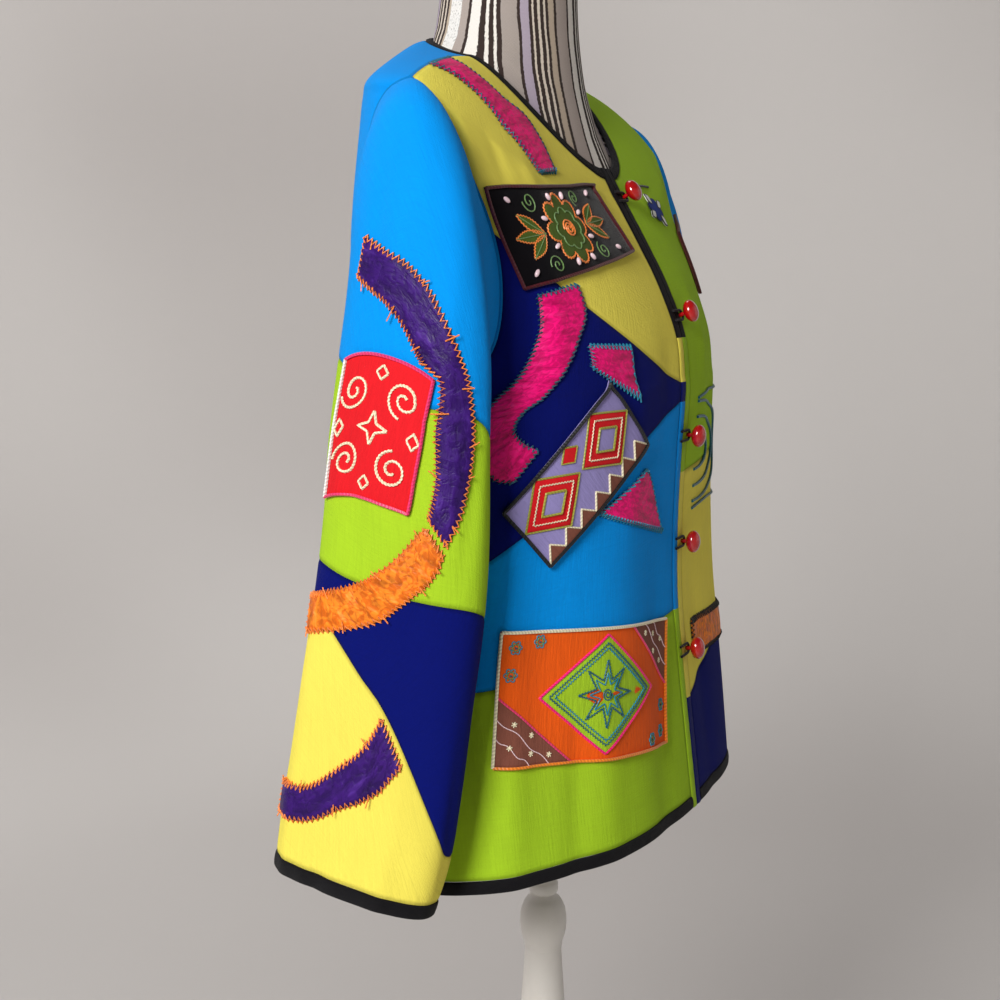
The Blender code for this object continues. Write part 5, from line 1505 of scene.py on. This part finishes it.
def makeClosure():
    facts = buttonFacts
    lacquer = glossyGlass("red_lacquer", tint(176, 12, 16))
    cord = closureCord()
    for number, height in enumerate(facts["heights"], 1):
        point, across, up, out = buttonFrame(height)
        foot = point + out * facts["lift"]
        bpy.ops.mesh.primitive_uv_sphere_add(segments=36, ring_count=20, radius=1.0)
        bead = bpy.context.object
        bead.scale = facts["half"]
        bpy.ops.object.transform_apply(location=False, rotation=False, scale=True)
        bpy.ops.mesh.primitive_cylinder_add(vertices=20, radius=facts["shank"], depth=facts["shankLong"],
                                            location=(0, 0, facts["shankLong"] / 2 - facts["depth"]))
        shank = bpy.context.object
        bead.select_set(True)
        bpy.context.view_layer.objects.active = bead
        bpy.ops.object.join()
        bead.name = bead.data.name = f"button{number}"
        bead.matrix_world = Matrix((across, up, out)).transposed().to_4x4()
        bead.location = foot + out * facts["depth"]
        bpy.ops.object.transform_apply(location=True, rotation=True, scale=True)
        bead.data.materials.clear()
        bead.data.materials.append(lacquer)
        bpy.ops.object.shade_smooth_by_angle(angle=math.radians(50))
        bead.select_set(False)
        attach(bead, "root")
        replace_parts(bead, f"button_{number}")
        bend = spread((0.0, 0.0), facts["reach"], np.radians(np.linspace(90, -90, 19)))
        legs = np.linspace(facts["loopStart"], facts["legEnd"], facts["legSteps"])
        aside = np.full(legs.shape, facts["reach"])
        path = np.concatenate([np.stack([legs, aside], -1), bend, np.stack([legs[::-1], -aside], -1)])
        loop = Bundle(f"loop{number}", cord, "black")
        lifted = point + across * path[:, :1] + up * path[:, 1:] + out * (facts["lift"] + facts["cord"])
        loop.tube(lifted, np.broadcast_to(out, lifted.shape), facts["cord"], 10)
        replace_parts(loop.finishPiece(), f"loop_{number}")


makeClosure()
print("buttons and loops sewn on")

# dress form and stand
formNeck = [
    Section("neck top", 1.412, 1.408, 1.412, 0.054, -0.02, 0.083, 0.031),
    Section("neck edge", 1.408, 1.404, 1.408, 0.0562, -0.0222, 0.085, 0.031),
    Section("high neck", 1.375, 1.36, 1.38, 0.056, -0.0215, 0.0855, 0.031),
    Section("neck", 1.335, 1.3, 1.345, 0.0565, -0.0215, 0.087, 0.031),
    Section("low neck", 1.302, 1.245, 1.318, 0.0605, -0.0275, 0.0895, 0.031),
    Section("neck root", 1.279, 1.206, 1.3, 0.068, -0.038, 0.0905, 0.031),
]
formTorso = [
    Section("arm plate top", 1.19, 1.12, 1.195, 0.179, -0.08, 0.098, 0.014),
    Section("arm plate", 1.13, 1.085, 1.13, 0.176, -0.097, 0.102, 0.014),
    Section("bust", 1.055, 1.045, 1.055, 0.164, -0.109, 0.103, 0.014),
    Section("under bust", 0.985, 0.985, 0.985, 0.144, -0.096, 0.099, 0.012),
    Section("waist", 0.905, 0.905, 0.905, 0.123, -0.08, 0.086, 0.008),
    Section("high hip", 0.835, 0.835, 0.835, 0.143, -0.09, 0.096, 0.004),
    Section("hip", 0.765, 0.765, 0.765, 0.162, -0.098, 0.106, 0.002),
    Section("form foot", 0.705, 0.705, 0.705, 0.16, -0.096, 0.103, 0.002),
    Section("form foot edge", 0.698, 0.698, 0.698, 0.154, -0.09, 0.097, 0.002),
]
formFacts = {"squareness": 2.1, "columns": 160, "seamAngle": -112.0, "repeats": 4.0, "seamWide": 6.0,
             "neckRows": 31, "shoulderRows": 9, "torsoRows": 41, "shoulderEase": 0.004, "rootEase": 0.0012,
             "topRise": 0.0012, "footRise": -0.0004, "capShares": (0.9, 0.6, 0.3)}

# the stripes of the form's jersey, by where each begins in one repeat
knitStripes = [
    (0.0, "mauve"), (0.15, "dark"), (0.178, "white"), (0.262, "dark"), (0.31, "white"), (0.338, "dark"),
    (0.378, "white"), (0.402, "dark"), (0.44, "grey"), (0.585, "dark"), (0.612, "lilac"), (0.69, "dark"),
    (0.722, "cream"), (0.742, "dark"), (0.78, "cream"), (0.806, "dark"), (0.845, "cream"), (0.868, "dark"),
    (0.9, "beige"), (0.965, "dark")]
knitColours = {
    "mauve": tint(172, 160, 153), "dark": tint(58, 47, 44), "white": tint(236, 231, 224),
    "grey": tint(166, 156, 150), "lilac": tint(172, 160, 176), "cream": tint(214, 202, 188),
    "beige": tint(184, 168, 150)}


def stripedKnit():
    # jersey with uneven dark, pale and grey stripes and one speckled seam band
    facts = formFacts
    finish = Finish("striped_knit", Sheen_Weight=0.03, Roughness=0.88, Specular_IOR_Level=0.15)
    u, v = finish.cut()
    wobble = finish.noise(finish.vector(u * 4, v * 12), 1.0, 2.0) - 0.5
    ragged = finish.noise(finish.vector(u * 900, v * 420), 1.0, 2.0) - 0.5
    line = (u * facts["repeats"] + wobble * 0.1 + ragged * 0.022).sum("FRACT")
    stops = [(start, knitColours[colour]) for start, colour in knitStripes]
    striped = finish.node("ShaderNodeValToRGB", {"stops": stops}, {0: line})
    striped.socket.node.color_ramp.interpolation = "CONSTANT"
    mottle = finish.noise(finish.vector(u * 1700, v * 760), 1.0, 2.0)
    knit = (u * 2100).sine() * (v * 2600).sine()
    specks = finish.noise(finish.vector(u * 760, v * 420), 1.0, 1.0).between(0.62, 0.66)
    band = abs(u - 0.5) > (0.5 - facts["seamWide"] / 360)
    seam = finish.mix(specks * 0.8, tint(232, 230, 226), tint(60, 56, 56))
    finish.bump(knit * 0.3 + mottle, 0.0004, 0.6)
    return finish.colour(finish.shade(finish.mix(band, striped, seam), mottle * 0.5 + 0.74))


def makeForm():
    facts = formFacts
    turn = np.linspace(0, 1, facts["columns"] + 1)
    angles = facts["seamAngle"] + 360 * turn
    neck, torso = sectionSkin(formNeck, facts["squareness"]), sectionSkin(formTorso, facts["squareness"])
    rings = [neck(angles, row) for row in np.linspace(0, len(formNeck) - 1, facts["neckRows"])]
    for row in np.linspace(lastRow, rowOf["shoulder"], facts["shoulderRows"]):
        ease = np.interp(row, [rowOf["shoulder"], rowOf["shoulder root"]],
                         [facts["shoulderEase"], facts["rootEase"]])
        inwards = clothFacts["thick"] + clothFacts["bindingProud"] + ease
        rings.append(bodySkin(angles, row) - outwardOf(places["body"], angles, np.array(row)) * inwards)
    rings += [torso(angles, row) for row in np.linspace(0, len(formTorso) - 1, facts["torsoRows"])]
    rings = np.array(rings)[:, :-1]
    rows, columns = rings.shape[:2]
    index = np.arange(rows * columns).reshape(rows, columns)
    faces = [*roundFaces(index)[:, ::-1]]
    points, shares, count = [rings.reshape(-1, 3)], [np.tile(turn[:-1], rows)], rows * columns
    # the top and the foot are closed by smaller and smaller rings, then by a fan
    for end, rise, order in ((0, facts["topRise"], 1), (-1, facts["footRise"], -1)):
        edge, last = rings[end], index[end]
        middle = edge.mean(axis=0)
        for share in facts["capShares"]:
            points.append(middle + (edge - middle) * share + np.array([0, 0, rise * (1 - share)]))
            shares.append(turn[:-1])
            ring = count + np.arange(columns)
            faces += [*np.stack([last, np.roll(last, -1), np.roll(ring, -1), ring], -1)[:, ::order]]
            last, count = ring, count + columns
        points.append(middle[None] + np.array([[0, 0, rise]]))
        shares.append([0.0])
        faces += [*np.stack([last, np.roll(last, -1), np.full(columns, count)], -1)[:, ::order]]
        count += 1
    points = np.concatenate(points)
    cut = np.stack([np.concatenate(shares), points[:, 2]], -1)
    piece = meshObject("dressForm", points, faces, cut, stripedKnit(), sharp=50)
    # the last column's faces close on a full turn, not back at zero
    corners = piece.data.uv_layers["cut"].data
    for face in piece.data.polygons:
        own = [corners[loop].uv for loop in face.loop_indices]
        if max(spot.x for spot in own) - min(spot.x for spot in own) > 0.5:
            for spot in own:
                spot.x += 1.0 if spot.x < 0.5 else 0.0
    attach(piece, "root")
    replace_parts(piece, "dress_form")


makeForm()
print("dress form made")


def whitePaint():
    # brushed white paint on turned wood, with random stains and small chips
    finish = Finish("white_paint", Specular_IOR_Level=0.5)
    place = finish.objectPlace()
    drawn = finish.node("ShaderNodeVectorMath", {"operation": "MULTIPLY"}, {0: place, 1: (9, 9, 240)})
    brush = finish.noise(drawn, 1.0, 3.0)
    stain = finish.noise(place, 18.0, 4.0, 0.6)
    chip = finish.noise(place, 95.0, 3.0, 0.7).between(0.7, 0.74)
    colour = finish.mix(stain.between(0.45, 0.8) * 0.35, tint(226, 222, 216), tint(196, 188, 178))
    finish.rough(brush * 0.2 + 0.34)
    finish.bump(brush * 0.5 - chip * 0.6, 0.0005, 0.6)
    return finish.colour(finish.mix(chip * 0.4, colour, tint(150, 132, 112)))


standFacts = {"baseSides": 96, "poleSides": 64, "sharp": 32}
# radius and height of each turned line, from the floor up
baseLines = [(0.197, 0.0), (0.2, 0.0022), (0.202, 0.006), (0.203, 0.011), (0.2022, 0.0155), (0.1985, 0.0188),
             (0.193, 0.02), (0.1925, 0.0222), (0.185, 0.024), (0.15, 0.029), (0.12, 0.0322), (0.09, 0.035),
             (0.056, 0.0372), (0.05, 0.0377)]
poleLines = [(0.038, 0.038), (0.0376, 0.042), (0.035, 0.048), (0.0318, 0.055), (0.03, 0.06), (0.0262, 0.0632),
             (0.024, 0.066), (0.0262, 0.071), (0.027, 0.078), (0.0262, 0.0848), (0.024, 0.09),
             (0.0192, 0.0934), (0.0165, 0.096), (0.0168, 0.11), (0.019, 0.13), (0.0216, 0.18), (0.0235, 0.23),
             (0.0244, 0.28), (0.0245, 0.32), (0.0238, 0.36), (0.0225, 0.4), (0.0204, 0.44), (0.0185, 0.47),
             (0.017, 0.492), (0.016, 0.5096), (0.0166, 0.5104), (0.0166, 0.513), (0.0172, 0.5158),
             (0.019, 0.521), (0.0202, 0.5268), (0.0206, 0.533), (0.0202, 0.5394), (0.0192, 0.545),
             (0.0172, 0.5502), (0.0148, 0.554), (0.012, 0.5566), (0.0107, 0.559), (0.0122, 0.5604),
             (0.013, 0.5622), (0.013, 0.5676), (0.0122, 0.5692), (0.0104, 0.5716), (0.0097, 0.576),
             (0.0095, 0.6), (0.0095, 0.6977)]


def turnedPiece(name, lines, sides, finish, node):
    # a disc whose top face is extruded and scaled up the turned outline
    radius, low = lines[0]
    bpy.ops.mesh.primitive_circle_add(vertices=sides, radius=radius, fill_type="NGON", location=(0, 0, low))
    piece = bpy.context.object
    piece.name = piece.data.name = name
    bpy.ops.object.transform_apply(location=True, rotation=True, scale=True)
    bpy.ops.object.mode_set(mode="EDIT")
    bpy.ops.mesh.select_all(action="SELECT")
    for nextRadius, nextHeight in lines[1:]:
        bpy.ops.mesh.extrude_region_move(TRANSFORM_OT_translate={"value": (0, 0, nextHeight - low)})
        grow = nextRadius / radius
        bpy.ops.transform.resize(value=(grow, grow, 1), center_override=(0, 0, nextHeight))
        radius, low = nextRadius, nextHeight
    bpy.ops.mesh.select_all(action="SELECT")
    bpy.ops.mesh.normals_make_consistent(inside=False)
    bpy.ops.object.mode_set(mode="OBJECT")
    piece.data.materials.append(finish)
    bpy.ops.object.shade_smooth_by_angle(angle=math.radians(standFacts["sharp"]))
    piece.select_set(False)
    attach(piece, "root")
    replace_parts(piece, node)


paint = whitePaint()
turnedPiece("turnedBase", baseLines, standFacts["baseSides"], paint, "stand_base")
turnedPiece("turnedPole", poleLines, standFacts["poleSides"], paint, "stand_pole")
print("stand turned")

# studio: a pale bowl of floor and wall, lit softly from the front
studioFacts = {"radius": 3.3, "cove": 1.5, "height": 3.6, "sides": 96, "sky": 0.055,
               "skyTint": (0.93, 0.95, 1.0, 1)}
# each lamp's place and aim, its power in watts, its size in metres and its tint
Lamp = namedtuple("Lamp", "name place aim power size tint")
lamps = [
    Lamp("keyLight", (-2.6, 0.0, 2.1), (0, 0, 0.95), 80.0, 0.9, (1.0, 0.985, 0.96)),
    Lamp("fillLight", (1.3, -2.6, 1.7), (0, 0, 0.95), 2.5, 1.8, (0.95, 0.97, 1.0)),
    Lamp("rimLight", (0.6, 2.7, 2.4), (0, 0, 0.95), 11.0, 1.5, (1.0, 0.98, 0.95)),
    Lamp("wallLight", (0.9, 1.3, 3.1), (3.3, 1.4, 0.2), 42.0, 2.2, (1.0, 0.98, 0.96)),
]


def wallPaint():
    finish = Finish("studio_wall", Roughness=0.95, Specular_IOR_Level=0.1)
    cloud = finish.noise(finish.objectPlace(), 0.55, 1.0, 0.4)
    grain = finish.noise(finish.objectPlace(), 160.0, 2.0)
    finish.bump(grain, 0.0006, 0.3)
    return finish.colour(finish.mix(cloud.between(0.3, 0.7), tint(186, 182, 180), tint(206, 203, 201)))


def makeStudio():
    facts = studioFacts
    cove, edge = facts["cove"], facts["radius"] - facts["cove"]
    bends = [math.radians(degrees) for degrees in range(6, 91, 6)]
    curve = [(edge + cove * math.sin(bend), cove * (1 - math.cos(bend))) for bend in bends]
    lines = [(0.02, 0.0), (edge, 0.0), *curve, (facts["radius"], facts["height"])]
    turns = np.linspace(0, 2 * math.pi, facts["sides"], endpoint=False)
    points = np.array([[r * math.cos(t), r * math.sin(t), z] for r, z in lines for t in turns])
    index = np.arange(len(points)).reshape(len(lines), facts["sides"])
    faces = roundFaces(index)[:, [0, 3, 2, 1]].tolist() + [index[0].tolist()]
    mesh = bpy.data.meshes.new("studioBowl")
    mesh.from_pydata(points.tolist(), [], faces)
    mesh.materials.append(wallPaint())
    mesh.shade_smooth()
    addObject("studioBowl", mesh)
    world = bpy.data.worlds.new("studioSky")
    world.use_nodes = True
    background = world.node_tree.nodes["Background"]
    background.inputs[0].default_value, background.inputs[1].default_value = facts["skyTint"], facts["sky"]
    scene.world = world
    for lamp in lamps:
        light = bpy.data.lights.new(lamp.name, "AREA")
        light.energy, light.size, light.color = lamp.power, lamp.size, lamp.tint
        holder = addObject(lamp.name, light)
        holder.location = lamp.place
        holder.rotation_mode = "QUATERNION"
        holder.rotation_quaternion = (Vector(lamp.aim) - Vector(lamp.place)).to_track_quat("-Z", "Y")
        holder.visible_camera = False


makeStudio()
print("studio lit")
